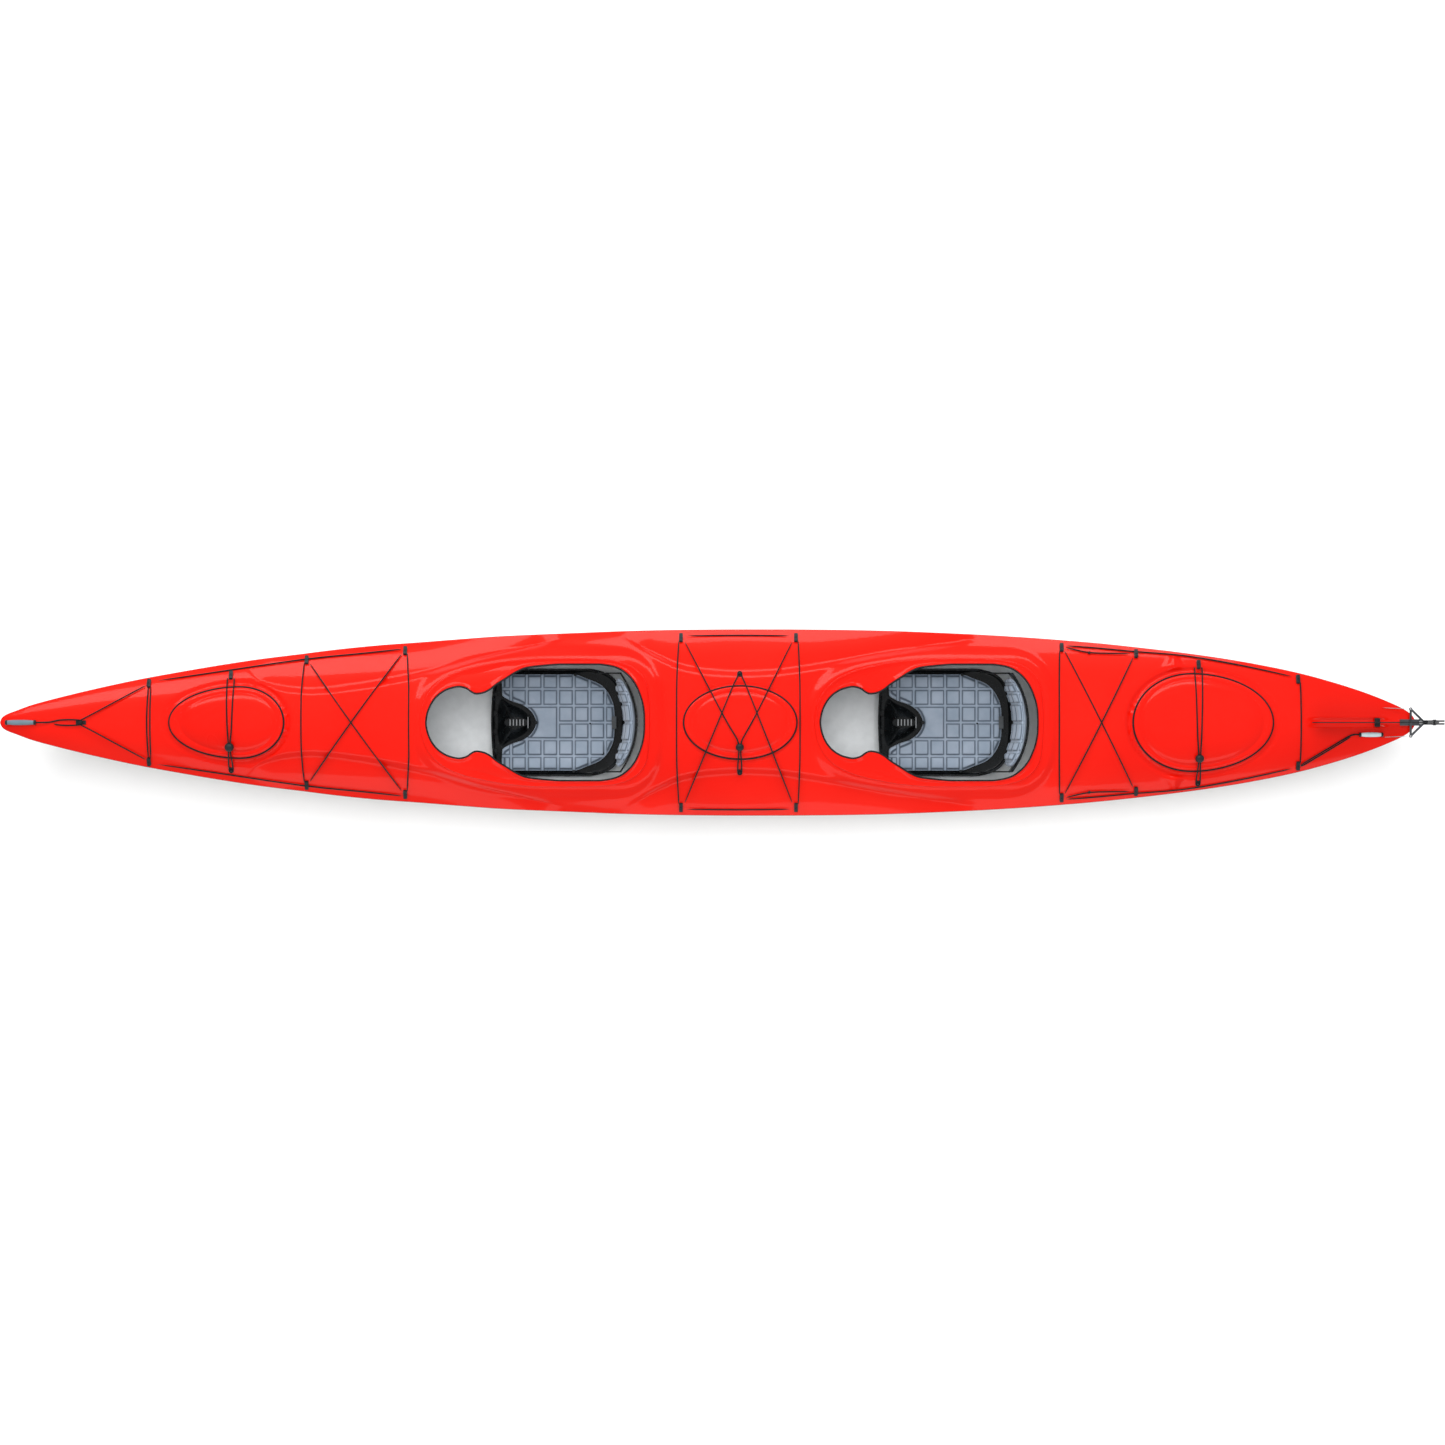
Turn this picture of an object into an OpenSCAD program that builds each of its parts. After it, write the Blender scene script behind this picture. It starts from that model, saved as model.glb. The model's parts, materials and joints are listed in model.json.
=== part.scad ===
// Two-seat touring kayak: thermoformed hull and deck, two keyhole cockpits, three hatches, a flip-up rudder.
// Millimetres, +X aft, +Y starboard, +Z up, origin under the middle of the whole length.

/* [Hull] */
// Length of the hull, bow tip to stern tip
hull_l = 5334; // [4600:2:6400]
// Widest beam of the hull
beam = 702; // [600:1:840]
// Keel to the crest of the deck ahead of the front cockpit
hull_depth = 347; // [300:1:416]
// Thickness of the hull sheet
shell_t = 3.5; // [2.5:0.1:6]
// Thickness of the deck sheet
deck_t = 3.5; // [2.5:0.1:6]
// Thickness of a bulkhead
bulkhead_t = 6; // [4:0.5:12]

/* [Cockpits] */
// Length of each cockpit opening
cockpit_l = 824; // [740:1:900]
// Width of each cockpit opening
cockpit_w = 442; // [424:1:480]
// Height of the coaming lip over the deck
coaming_h = 18; // [14:1:26]
// Width of the coaming lip
coaming_w = 24; // [18:1:30]

/* [Seats] */
// Length of a seat cushion
cushion_l = 450; // [400:1:460]
// Width of a seat cushion
cushion_w = 390; // [325:1:396]
// Thickness of a seat cushion
cushion_t = 30; // [20:1:38]
// Height of a backrest
backrest_h = 176; // [140:1:186]
// Travel of a seat each way from the middle of its rails
seat_travel = 60; // [30:1:70]

/* [Hatches] */
// Width of the bow hatch lid
bow_hatch_w = 262; // [210:1:290]
// Width of the day hatch lid
day_hatch_w = 270; // [220:1:330]
// Width of the stern hatch lid
stern_hatch_w = 362; // [300:1:380]
// Depth of the tub under the day hatch
tub_d = 110; // [80:1:135]

/* [Deck lines] */
// Diameter of the deck cords
cord_d = 5; // [4:0.5:6]
// Length of a cord clip across the deck
clip_l = 33; // [26:1:40]
// Length of a grab toggle
toggle_l = 114; // [90:1:138]
// Diameter of a grab toggle
toggle_d = 20; // [16:1:24]

/* [Rudder] */
// Length of the rudder blade from its pivot
blade_l = 463; // [386:1:556]
// Thickness of the rudder blade
blade_t = 4; // [3:0.5:5]
// Half width of the steering yoke
yoke_w = 51; // [42:1:61]

/* [Footrests] */
// Length of a footrest rail
foot_rail_l = 320; // [260:1:384]
// Height of a rudder pedal
pedal_h = 92; // [76:1:104]

/* [Hidden] */
$fn = 32;
design_l = 5334;
design_w = 702;
design_depth = 347;
kl = hull_l / design_l;
kw = beam / design_w;
kd = hull_depth / design_depth;
overhang = 102;
total_l = hull_l + overhang;
fit = 0.35;
run = 0.05;
eps = 0.01;

// hull form, at the design size: half breadth, keel height, sheer height and deck camber along the hull
half_form = [[0, 9], [10, 20], [26, 30], [60, 43], [110, 62], [180, 82], [270, 105], [366, 128],
    [518, 161], [669, 189], [820, 215], [971, 238], [1122, 257], [1273, 276], [1424, 291],
    [1575, 302], [1727, 314], [1878, 325], [2029, 332], [2180, 338], [2331, 344], [2482, 348],
    [2633, 350], [2784, 351], [2936, 351], [3087, 350], [3238, 348], [3389, 344], [3540, 338],
    [3691, 331], [3842, 322], [3993, 311], [4145, 298], [4296, 282], [4447, 264], [4598, 243],
    [4749, 217], [4900, 185], [5051, 143], [5150, 110], [5240, 74], [5290, 50], [5320, 29], [5334, 12]];
keel_form = [[0, 286], [10, 262], [26, 238], [60, 198], [110, 154], [180, 110], [270, 72], [366, 46],
    [518, 26], [669, 16], [971, 6], [1424, 0], [3993, 0], [4447, 5], [4749, 12], [4900, 20],
    [5051, 36], [5150, 56], [5240, 100], [5290, 148], [5320, 190], [5334, 222]];
sheer_form = [[0, 332], [270, 311], [669, 283], [1122, 258], [1575, 243], [2180, 234], [2784, 230],
    [3389, 228], [3993, 230], [4447, 236], [4900, 250], [5334, 272]];
camber_form = [[0, 4], [60, 12], [180, 24], [366, 38], [669, 58], [971, 76], [1273, 92], [1575, 104],
    [2029, 100], [2482, 90], [2784, 84], [3087, 89], [3389, 87], [3993, 70], [4447, 56], [4749, 44],
    [4900, 36], [5150, 20], [5334, 6]];
camber_power = 2.2;
// moulded creases: half breadth of the raised spine, with a scoop between it and the deck edge
fore_crease = [[910, 213], [977, 144], [1083, 112], [1177, 103], [1334, 119], [1534, 157],
    [1710, 203], [1789, 229], [1934, 269], [2127, 315]];
mid_crease = [[2331, 327], [2482, 234], [2548, 201], [2659, 176], [2786, 168], [2912, 173],
    [3039, 191], [3236, 229], [3710, 315]];
scoop_d = 11;
scoop_run = 130;
scoop_rise = 0.3;
section_form = [[0, 0], [0.14, 0], [0.38, 0.03], [0.58, 0.075], [0.74, 0.15], [0.86, 0.29],
    [0.94, 0.5], [0.985, 0.78], [1, 1]];
deck_cells = 24;
cavity_from = 5;
cavity_to = 40;
cavity_rise = 80;
stations = [for (p = half_form) p[0] * kl];

function st(d) = d * kl;
function half_b(s) = lookup(s / kl, half_form) * kw;
function keel_z(s) = lookup(s / kl, keel_form) * kd;
function sheer_z(s) = lookup(s / kl, sheer_form) * kd;
function camber(s) = lookup(s / kl, camber_form) * kd;
function crown_z(s, y) = sheer_z(s) + camber(s) * (1 - pow(min(1, abs(y) / half_b(s)), camber_power));
function ease(t) = let (c = max(0, min(1, t))) c * c * (3 - 2 * c);
function ends(s, form) = let (n = len(form) - 1)
    ease((s / kl - form[0][0]) / scoop_run) * ease((form[n][0] - s / kl) / scoop_run);
function scoop_by(s, y, form) = let (c = lookup(s / kl, form) * kw, t = (abs(y) - c) / (half_b(s) - c))
    t <= 0 || t >= 1 ? 0 : scoop_d * ends(s, form) * ease(t / scoop_rise) * (1 - t) / (1 - scoop_rise);
function scoop(s, y) = scoop_by(s, y, fore_crease) + scoop_by(s, y, mid_crease);
function top_z(s, y) = crown_z(s, y) - scoop(s, y);
function bay(s) = let (hits = [for (i = [0 : len(stations) - 2]) if (stations[i + 1] >= s) i])
    len(hits) > 0 ? hits[0] : len(stations) - 2;
function mix(a, b, t) = a + (b - a) * t;
function part_way(s, i) = (s - stations[i]) / (stations[i + 1] - stations[i]);
function rib_z(s, y) = let (h = half_b(s), u = min(deck_cells - eps, (y / h + 1) * deck_cells / 2),
    j = floor(max(0, u)), a = (2 * j / deck_cells - 1) * h, b = (2 * (j + 1) / deck_cells - 1) * h)
    mix(top_z(s, a), top_z(s, b), max(0, u) - j);
// height of the deck sheet as it is built, between two ribs
function deck_z(s, y) = let (i = bay(s)) mix(rib_z(stations[i], y), rib_z(stations[i + 1], y), part_way(s, i));
function hull_top(s) = sheer_z(s) - deck_t - fit;
function section(s) = [for (p = section_form) [p[0] * half_b(s), mix(keel_z(s), hull_top(s), p[1])]];
function normal2(a, b) = let (d = b - a, m = norm(d)) [d[1] / m, -d[0] / m];
function inner(s, gap) = let (c = section(s), n = len(c) - 1)
    [for (k = [0 : n]) c[k] - gap * (k < 2 ? [0, -1] : k == n ? [1, 0] : normal2(c[k - 1], c[k + 1]))];
function inner_at(s, gap) = let (i = bay(s), a = inner(stations[i], gap), b = inner(stations[i + 1], gap))
    [for (k = [0 : len(a) - 1]) mix(a[k], b[k], part_way(s, i))];
function wall_y(s, z, gap) = let (c = inner_at(s, gap)) lookup(z, [for (k = [1 : len(c) - 1]) [c[k][1], c[k][0]]]);

// outlines, anticlockwise seen from above
function egg(fore, aft, w, n) = [for (k = [0 : n - 1]) let (a = 360 * k / n)
    [cos(a) * (cos(a) > 0 ? aft : fore), w / 2 * sin(a)]];
function wrap(k, n) = (k + n) % n;
function outward(o, k) = let (n = len(o), d = o[wrap(k + 1, n)] - o[wrap(k - 1, n)], m = norm(d))
    [d[1] / m, -d[0] / m];
function grown(o, by) = [for (k = [0 : len(o) - 1]) o[k] + by * outward(o, k)];
function moved(o, s) = [for (p = o) [p[0] + s, p[1]]];

// surfaces: rings of points joined in order, with ends or closed on themselves
function sides(m, n, closed) = [for (i = [0 : m - (closed ? 1 : 2)]) for (j = [0 : n - 1])
    let (a = i * n, b = ((i + 1) % m) * n, k = (j + 1) % n)
    each [[a + j, b + j, b + k], [a + j, b + k, a + k]]];
function turned(faces, flip) = flip ? [for (f = faces) [f[2], f[1], f[0]]] : faces;
function centre(r) = [for (k = [0 : 2]) [for (p = r) p[k]] * [for (p = r) 1 / len(r)]];
module loft(rings, flip = false) {
    m = len(rings);
    n = len(rings[0]);
    last = (m - 1) * n;
    caps = [for (j = [0 : n - 1]) let (k = (j + 1) % n)
        each [[m * n, j, k], [m * n + 1, last + k, last + j]]];
    points = concat([for (r = rings) each r], [centre(rings[0]), centre(rings[m - 1])]);
    polyhedron(points, turned(concat(sides(m, n, false), caps), flip));
}
module loop(rings) {
    polyhedron([for (r = rings) each r], turned(sides(len(rings), len(rings[0]), true), true));
}
cord_sides = 8;
function unit(v) = v / norm(v);
function cord_ring(p, t, r) = let (side = unit(cross(t, [0, 0, 1])), up = cross(side, unit(t)))
    [for (k = [0 : cord_sides - 1]) let (a = 360 * (k + 0.5) / cord_sides) p + r * (cos(a) * side + sin(a) * up)];
module cord(path, d) {
    n = len(path) - 1;
    loft([for (i = [0 : n]) cord_ring(path[i], path[min(n, i + 1)] - path[max(0, i - 1)], d / 2)], true);
}
// a cord laid over the deck through plan points, with a number of steps in each stretch
function legs(pts, steps) = concat([for (i = [0 : len(pts) - 2]) for (k = [0 : steps - 1])
    mix(pts[i], pts[i + 1], k / steps)], [pts[len(pts) - 1]]);
function over_deck(pts, lift) = [for (p = pts) [p[0], p[1], crown_z(p[0], p[1]) + lift + p[2]]];
module framed() {
    translate([-total_l / 2, 0, 0]) children();
}

// hull and deck sheets
function deck_ring(s) = let (h = half_b(s), ys = [for (j = [0 : deck_cells]) (2 * j / deck_cells - 1) * h])
    concat([for (y = ys) [s, y, top_z(s, y) - deck_t]],
        [for (j = [deck_cells : -1 : 0]) [s, ys[j], top_z(s, ys[j])]]);
function hull_ring(s) = let (c = section(s), n = len(c) - 1)
    concat([for (k = [n : -1 : 1]) [s, -c[k][0], c[k][1]]], [for (k = [0 : n]) [s, c[k][0], c[k][1]]]);
function cavity_ring(s) = let (c = inner(s, shell_t), n = len(c) - 1, z = c[n][1] + cavity_rise)
    concat([[s, -c[n][0], z]], [for (k = [n : -1 : 1]) [s, -c[k][0], c[k][1]]],
        [for (k = [0 : n]) [s, c[k][0], c[k][1]]], [[s, c[n][0], z]]);

// cockpits
cockpit_form = [[0, 0], [4, 30], [14, 60], [32, 90], [58, 114], [90, 130], [126, 137], [155, 130],
    [175, 116], [190, 110], [215, 114], [240, 126], [264, 145], [300, 168], [342, 194], [376, 208],
    [427, 215], [512, 221], [580, 221], [648, 221], [690, 216], [722, 207], [760, 182], [789, 147],
    [808, 105], [818, 72], [823, 36], [824, 0]];
design_cockpit_l = 824;
design_cockpit_w = 442;
front_mid = st(2014);
rear_mid = st(3496);
coaming_t = 4;
cut_in = 1.5;
lip_t = 4;
root_d = 7;
function keyhole(s0) = let (n = len(cockpit_form) - 1,
    side = [for (p = cockpit_form) [(p[0] - design_cockpit_l / 2) * cockpit_l / design_cockpit_l,
        p[1] * cockpit_w / design_cockpit_w]])
    moved(concat([for (k = [0 : n]) [side[k][0], -side[k][1]]], [for (k = [n - 1 : -1 : 1]) side[k]]), s0);
function belt(o, profile) = [for (k = [0 : len(o) - 1]) let (n = outward(o, k), z = crown_z(o[k][0], o[k][1]))
    [for (q = profile) [o[k][0] + n[0] * q[0], o[k][1] + n[1] * q[0], z + q[1]]]];
coaming_form = [[0, coaming_h - lip_t], [coaming_t, coaming_h - lip_t - 1], [coaming_t, -root_d],
    [2 * coaming_t, -root_d], [2 * coaming_t, coaming_h - lip_t - 1], [coaming_w, coaming_h - 2 * lip_t],
    [coaming_w, coaming_h - lip_t], [coaming_w - lip_t, coaming_h - 1], [lip_t, coaming_h], [0, coaming_h - 1]];
trim_t = 5;
trim_form = [[-trim_t - fit, coaming_h - 2 * trim_t], [-fit, coaming_h - 2 * trim_t],
    [-fit, coaming_h + 1], [-trim_t - fit, coaming_h + 1]];
module prism(o, z0, z1) {
    translate([0, 0, z0]) linear_extrude(z1 - z0) polygon(o);
}

// hatches: station of the widest point, reach fore and aft of it, and width
bow_hatch = [st(901), st(261), st(164), bow_hatch_w];
day_hatch = [st(2785), st(210), st(210), day_hatch_w];
stern_hatch = [st(4490), st(220), st(303), stern_hatch_w];
hatch_points = 36;
mouth_in = 22;
gasket_lift = 0.8;
gasket_t = 3;
gasket_out = 3;
gasket_in = 15;
lid_t = 3.5;
lid_gap = 0.6;
lid_base = gasket_lift + gasket_t + lid_gap;
function hatch_line(h, by) = let (f = 1 + 2 * by / h[3])
    moved(egg(h[1] * f, h[2] * f, h[3] * f, hatch_points), h[0]);
function lid_ring(h, by, z) = [for (p = hatch_line(h, by)) [p[0], p[1], crown_z(p[0], p[1]) + z]];
// inset from the rim, and height over the gasket, of each ring of a lid's top
lid_form = [[-95, 14], [-62, 13.5], [-36, 11], [-22, 6], [-17, 5.5], [-6, 6.5], [0, 4.5]];
plug_in = 26;
module hatch_lid(h) {
    over = [for (p = lid_form) lid_ring(h, p[0], lid_base + p[1])];
    under = [lid_ring(h, 0, lid_base), lid_ring(h, -plug_in, lid_base),
        lid_ring(h, lid_form[2][0] - lid_t, lid_base + lid_form[2][1] - lid_t),
        lid_ring(h, lid_form[0][0], lid_base + lid_form[0][1] - lid_t)];
    framed() loft(concat(over, under), true);
}
module hatch_gasket(h) {
    low = gasket_lift;
    top = gasket_lift + gasket_t;
    out_line = hatch_line(h, gasket_out);
    in_line = hatch_line(h, -gasket_in);
    loop([for (k = [0 : hatch_points - 1]) let (a = out_line[k], b = in_line[k],
        za = crown_z(a[0], a[1]), zb = crown_z(b[0], b[1]))
        [[b[0], b[1], zb + low], [a[0], a[1], za + low], [a[0], a[1], za + top], [b[0], b[1], zb + top]]]);
}

module hull_shell() color("white") resize([0, 0, 0]) framed() difference() {
    loft([for (s = stations) hull_ring(s)]);
    loft([for (i = [cavity_from : cavity_to]) cavity_ring(stations[i])]);
}

module deck_shell() color("red") resize([0, 0, 0]) framed() {
    difference() {
        loft([for (s = stations) deck_ring(s)]);
        for (s0 = [front_mid, rear_mid]) prism(grown(keyhole(s0), coaming_t + cut_in), 0, 2 * hull_depth);
        for (h = [bow_hatch, day_hatch, stern_hatch]) prism(hatch_line(h, -mouth_in), 0, 2 * hull_depth);
    }
    loop(belt(keyhole(front_mid), coaming_form));
    loop(belt(keyhole(rear_mid), coaming_form));
}

// strip that covers the joint of hull and deck on each side
strip_t = 1.5;
strip_up = 1;
strip_down = 14;
strip_from = 1;
strip_to = 42;
function strip_ring(i, way) = let (s = stations[i], h = half_b(s) + fit, z = sheer_z(s))
    [[s, way * h, z - strip_down], [s, way * (h + strip_t), z - strip_down],
        [s, way * (h + strip_t), z - deck_t + strip_up], [s, way * h, z - deck_t + strip_up]];
module seam_strips() color("firebrick") framed() for (way = [-1, 1])
    loft([for (i = [strip_from : strip_to]) strip_ring(i, way)], way < 0);

module cockpit_trims() color("black") framed() for (s0 = [front_mid, rear_mid])
    loop(belt(keyhole(s0), trim_form));

// bulkheads
bulkhead_gap = 0.6;
deck_gap = 3;
bow_wall = st(1180);
mid_wall = st(2525);
stern_wall = st(4110);
function wall_ring(s) = let (c = inner_at(s, shell_t + bulkhead_gap), n = len(c) - 1, w = c[n][0])
    concat([for (k = [n : -1 : 1]) [s, -c[k][0], c[k][1]]], [for (k = [0 : n]) [s, c[k][0], c[k][1]]],
        [for (j = [0 : deck_cells]) let (y = w * (1 - 2 * j / deck_cells))
            [s, y, deck_z(s, y) - deck_t - deck_gap]]);
module bulkhead(s) {
    loft([wall_ring(s), wall_ring(s + bulkhead_t)]);
}
module bow_bulkhead() color("whitesmoke") framed() bulkhead(bow_wall);
module mid_bulkhead() color("whitesmoke") framed() bulkhead(mid_wall);
module stern_bulkhead() color("whitesmoke") framed() difference() {
    bulkhead(stern_wall);
    for (way = [-1, 1]) translate([stern_wall - 1, way * lookup(stern_wall, tube_ys), lookup(stern_wall, tube_zs)])
        rotate([0, 90, 0]) cylinder(r = tube_r + lay_clear, h = bulkhead_t + 2);
}

// tub under the day hatch
tub_t = 3;
tub_gap = 0.7;
tub_taper = 18;
tub_top = -deck_t - tub_gap;
function flat_ring(h, by, z) = [for (p = hatch_line(h, by)) [p[0], p[1], z]];
module day_hatch_tub() {
    floor_z = crown_z(day_hatch[0], 0) - tub_d;
    color("dimgray") framed() loft([flat_ring(day_hatch, -mouth_in - tub_taper, floor_z + tub_t),
        lid_ring(day_hatch, -mouth_in, tub_top), lid_ring(day_hatch, -mouth_in + tub_t, tub_top),
        flat_ring(day_hatch, -mouth_in - tub_taper + tub_t, floor_z)], true);
}

// hatch lids and their gaskets
module bow_hatch_lid() color("red") hatch_lid(bow_hatch);
module day_hatch_lid() color("red") hatch_lid(day_hatch);
module stern_hatch_lid() color("red") hatch_lid(stern_hatch);
module hatch_gaskets() color("black") framed() for (h = [bow_hatch, day_hatch, stern_hatch]) hatch_gasket(h);

// cord clips: a foot, a post and a cap that the cords run between
clip_w = 14;
clip_foot = 3;
clip_cap = 2.2;
post_r = 3;
clip_gap = 1;
clip_lift = 0.9;
clip_r = 2.5;
slope_d = 14;
cord_z = clip_lift + clip_foot + clip_gap + cord_d / 2;
clip_h = clip_foot + cord_d + 2 * clip_gap + clip_cap;
clip_spots = [[557, 145], [1148, 234], [1519, 269], [2561, 319], [2996, 319], [4001, 282], [4282, 258],
    [4893, 162]];
strap_clips = [[865, 176], [4518, 217]];
function both(spots) = concat(spots, [for (p = spots) [p[0], -p[1]]]);
all_clips = concat(both(clip_spots), strap_clips);
lay_clear = 0.8;
module on_deck(s, y, lift) {
    dx = (deck_z(s + slope_d, y) - deck_z(s - slope_d, y)) / (2 * slope_d);
    dy = (deck_z(s, y + slope_d) - deck_z(s, y - slope_d)) / (2 * slope_d);
    translate([s, y, deck_z(s, y) + lift]) rotate([atan(dy), -atan(dx), 0]) children();
}
function rrect(l, w, r) = [for (q = [0 : 3]) for (k = [0 : 3]) let (a = 90 * q + 30 * k)
    [(q == 0 || q == 3 ? 1 : -1) * (l / 2 - r) + r * cos(a), (q < 2 ? 1 : -1) * (w / 2 - r) + r * sin(a)]];
module block(l, w, h, r) {
    linear_extrude(h) polygon(rrect(l, w, r));
}
screw_r = 1.6;
screw_head_r = 3.2;
screw_head_h = 1.6;
screw_gap = 0.1;
module deck_clips() color("black") framed() for (p = all_clips) on_deck(st(p[0]), p[1] * kw, clip_lift)
    difference() {
        union() {
            block(clip_w, clip_l, clip_foot, clip_r);
            cylinder(r = post_r, h = clip_h);
            translate([0, 0, clip_h - clip_cap]) block(clip_w, clip_l, clip_cap, clip_r);
        }
        translate([0, 0, -eps]) cylinder(r = screw_r + screw_gap, h = clip_h + 1);
    }
module deck_clip_screws() color("silver") framed() for (p = all_clips) on_deck(st(p[0]), p[1] * kw, clip_lift) {
    cylinder(r = screw_r, h = clip_h + fit);
    translate([0, 0, clip_h + screw_gap]) cylinder(r = screw_head_r, h = screw_head_h);
}

// hooks that the hatch straps loop over, and the eye behind the bow toggle
hook_spots = [[866, -178], [2783, 182], [2783, -186], [4515, -229]];
hook_r = 4;
hook_l = 15;
hook_w = 20;
hook_h = 13;
eye_s = 306;
eye_l = 38;
eye_w = 16;
eye_r = 5;
eye_h = 21;
eye_turn = eye_r + lay_clear + cord_d / 2;
module cord_hooks() color("black") framed() {
    for (p = hook_spots) on_deck(st(p[0]), p[1] * kw, clip_lift) {
        block(hook_l, hook_w, clip_foot, clip_r);
        cylinder(r = hook_r, h = hook_h);
    }
    on_deck(st(eye_s), 0, clip_lift) {
        block(eye_l, eye_w, clip_foot, clip_r);
        cylinder(r = eye_r, h = eye_h);
    }
}

// deck cords
lay_gap = 1.1;
lay = cord_d / 2 + lay_gap;
clear = cord_z - lay;
side_of_post = post_r + clip_gap + cord_d / 2;
off = 8;
over_cross = cord_d + 2 * fit;
function dk(s, y, z) = [st(s), y * kw, z];
function sunk(s, y) = deck_z(s, y) - crown_z(s, y);
function side_slope(s, y) = (deck_z(s, y + slope_d) - deck_z(s, y - slope_d)) / (2 * slope_d);
// a point beside a clip's post, measured in the clip's own tilted frame
function near(p, ds, dy, z) = let (s = st(p[0]), m = z > 0 ? side_slope(s, p[1] * kw) : 0, q = sqrt(1 + m * m),
    y = p[1] * kw + (dy - m * cord_z) / q) [s + ds, y, z + cord_z * (q - 1) + sunk(s + ds, y)];
function signed(p, way) = [p[0], way * p[1]];
module deck_cord(pts, steps) {
    cord(over_deck(legs(pts, steps), lay), cord_d);
}
// a line along the edge, on the outer side of its clips
module edge_line(spots, bulge, way) {
    n = len(spots) - 1;
    deck_cord([for (k = [0 : n]) let (p = signed(spots[k], way), end = k == 0 ? off : k == n ? -off : 0)
        each concat([near(p, end, way * side_of_post, clear)],
            k < n ? [mix(near(p, 0, way * (side_of_post + bulge), 0),
                near(signed(spots[k + 1], way), 0, way * (side_of_post + bulge), 0), 0.5)] : [])], 3);
}
edge_bulge = 6;
stern_turn = [4516, 239];
module perimeter_lines() color("black") framed() for (way = [-1, 1]) {
    edge_line([clip_spots[0], clip_spots[1], clip_spots[2]], 0, way);
    edge_line([clip_spots[3], clip_spots[4]], edge_bulge, way);
    edge_line([clip_spots[5], clip_spots[6], stern_turn, clip_spots[7]], edge_bulge, way);
}
// a cord straight across between two opposite clips, bowed a little fore or aft
module cross_cord(spot, ds, bow) {
    deck_cord([near(signed(spot, -1), ds, off, clear), dk(spot[0] + bow, -spot[1] / 2, 0),
        dk(spot[0] + bow, 0, 0), dk(spot[0] + bow, spot[1] / 2, 0), near(spot, ds, -off, clear)], 3);
}
// a cord from one clip to the clip diagonally across
module diagonal(fore, aft, way, lift) {
    a = near(signed(fore, way), off - 1, -way * (off - 1), clear);
    b = near(signed(aft, -way), 1 - off, way * (off - 1), clear);
    mid = mix(a, b, 0.5);
    deck_cord([a, [mid[0], mid[1], lift], b], 5);
}
module crossed(fore, aft) {
    diagonal(fore, aft, 1, 0);
    diagonal(fore, aft, -1, over_cross);
}
module bow_bungee() color("black") framed() {
    spot = clip_spots[0];
    high = clear + over_cross;
    cord(over_deck(concat(legs([near(signed(spot, -1), -off, off, clear), [st(eye_s) + 2 * off, -2 * off, high]], 6),
        [for (k = [0 : turn_steps]) let (a = 240 + 240 * k / turn_steps)
            [st(eye_s) - eye_turn * cos(a - 180), eye_turn * sin(a), high]],
        legs([[st(eye_s) + 2 * off, 2 * off, high], near(spot, -off, -off, clear)], 6)), lay), cord_d);
    deck_cord([near(signed(spot, -1), -1, off, clear), dk(spot[0] - 5, 0, 0), near(spot, -1, -off, clear)], 3);
    deck_cord([near(signed(spot, -1), off, off, clear), dk(spot[0] + off, 0, 0), near(spot, off, -off, clear)], 3);
}
module fore_bungee() color("black") framed() {
    cross_cord(clip_spots[1], -off, -15);
    crossed(clip_spots[1], clip_spots[2]);
    cross_cord(clip_spots[2], off, 19);
}
module mid_bungee() color("black") framed() {
    cross_cord(clip_spots[3], -off, -16);
    cross_cord(clip_spots[4], off, 14);
}
stopper_s = 4105;
stopper_y = 264;
stopper_r = 6;
stopper_up = stopper_r + lay_gap - lay;
function inner_line(way) = let (p = signed(clip_spots[5], way), q = signed(clip_spots[6], way),
    m = dk(stopper_s, way * stopper_y, stopper_up))
    [near(p, off + 3, 0, clear), m - [2 * off, -way * 2, 0], m + [2 * off, -way * 2, 0], near(q, -off - 3, 0, clear)];
module aft_bungee() color("black") framed() {
    cross_cord(clip_spots[5], -off, -13);
    crossed(clip_spots[5], clip_spots[6]);
    for (way = [-1, 1]) deck_cord(inner_line(way), 2);
    cross_cord(clip_spots[7], off, 9);
}
module cord_stoppers() color("black") framed() for (way = [-1, 1]) {
    line = over_deck(inner_line(way), lay);
    heading = line[2] - line[1];
    translate(mix(line[1], line[2], 0.5))
        rotate([0, acos(heading[2] / norm(heading)), atan2(heading[1], heading[0])])
            bored_ball(stopper_r, cord_d / 2 + fit);
}

// hatch straps: two strands from the anchor over the lid, through a ball, round a hook and back
hook_turn = hook_r + lay_clear + cord_d / 2;
ball_pair = 3.2;
turn_steps = 6;
function spread(y, y0, y1, g0, g1) = mix(g0, g1, (y - y0) / (y1 - y0));
function hook_arc(s0, y0, way, z) = [for (k = [0 : turn_steps]) let (a = 180 * k / turn_steps)
    [s0 + hook_turn * cos(a), y0 + way * hook_turn * sin(a), z]];
function upright(form) = [for (p = form) [p[0], p[1], p[2], 0]];
module strap(s0, form, hook_y, way, z) {
    y0 = hook_y * kw;
    lean = side_slope(s0, y0) * cord_z;
    out = [for (p = form) [s0 + p[3] + p[2], p[0] * kw, p[1]]];
    back = [for (k = [len(form) - 1 : -1 : 0]) let (p = form[k]) [s0 + p[3] - p[2], p[0] * kw, p[1]]];
    cord(over_deck(concat(out, hook_arc(s0, y0 - lean, way, z + sunk(s0, y0)), back), 0), cord_d);
}
lid_lift = lid_base + cord_d / 2 + 2 * fit;
module bored_ball(r, bore) {
    rotate_extrude() intersection() {
        circle(r = r);
        translate([bore, -r]) square([r, 2 * r]);
    }
}
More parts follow.
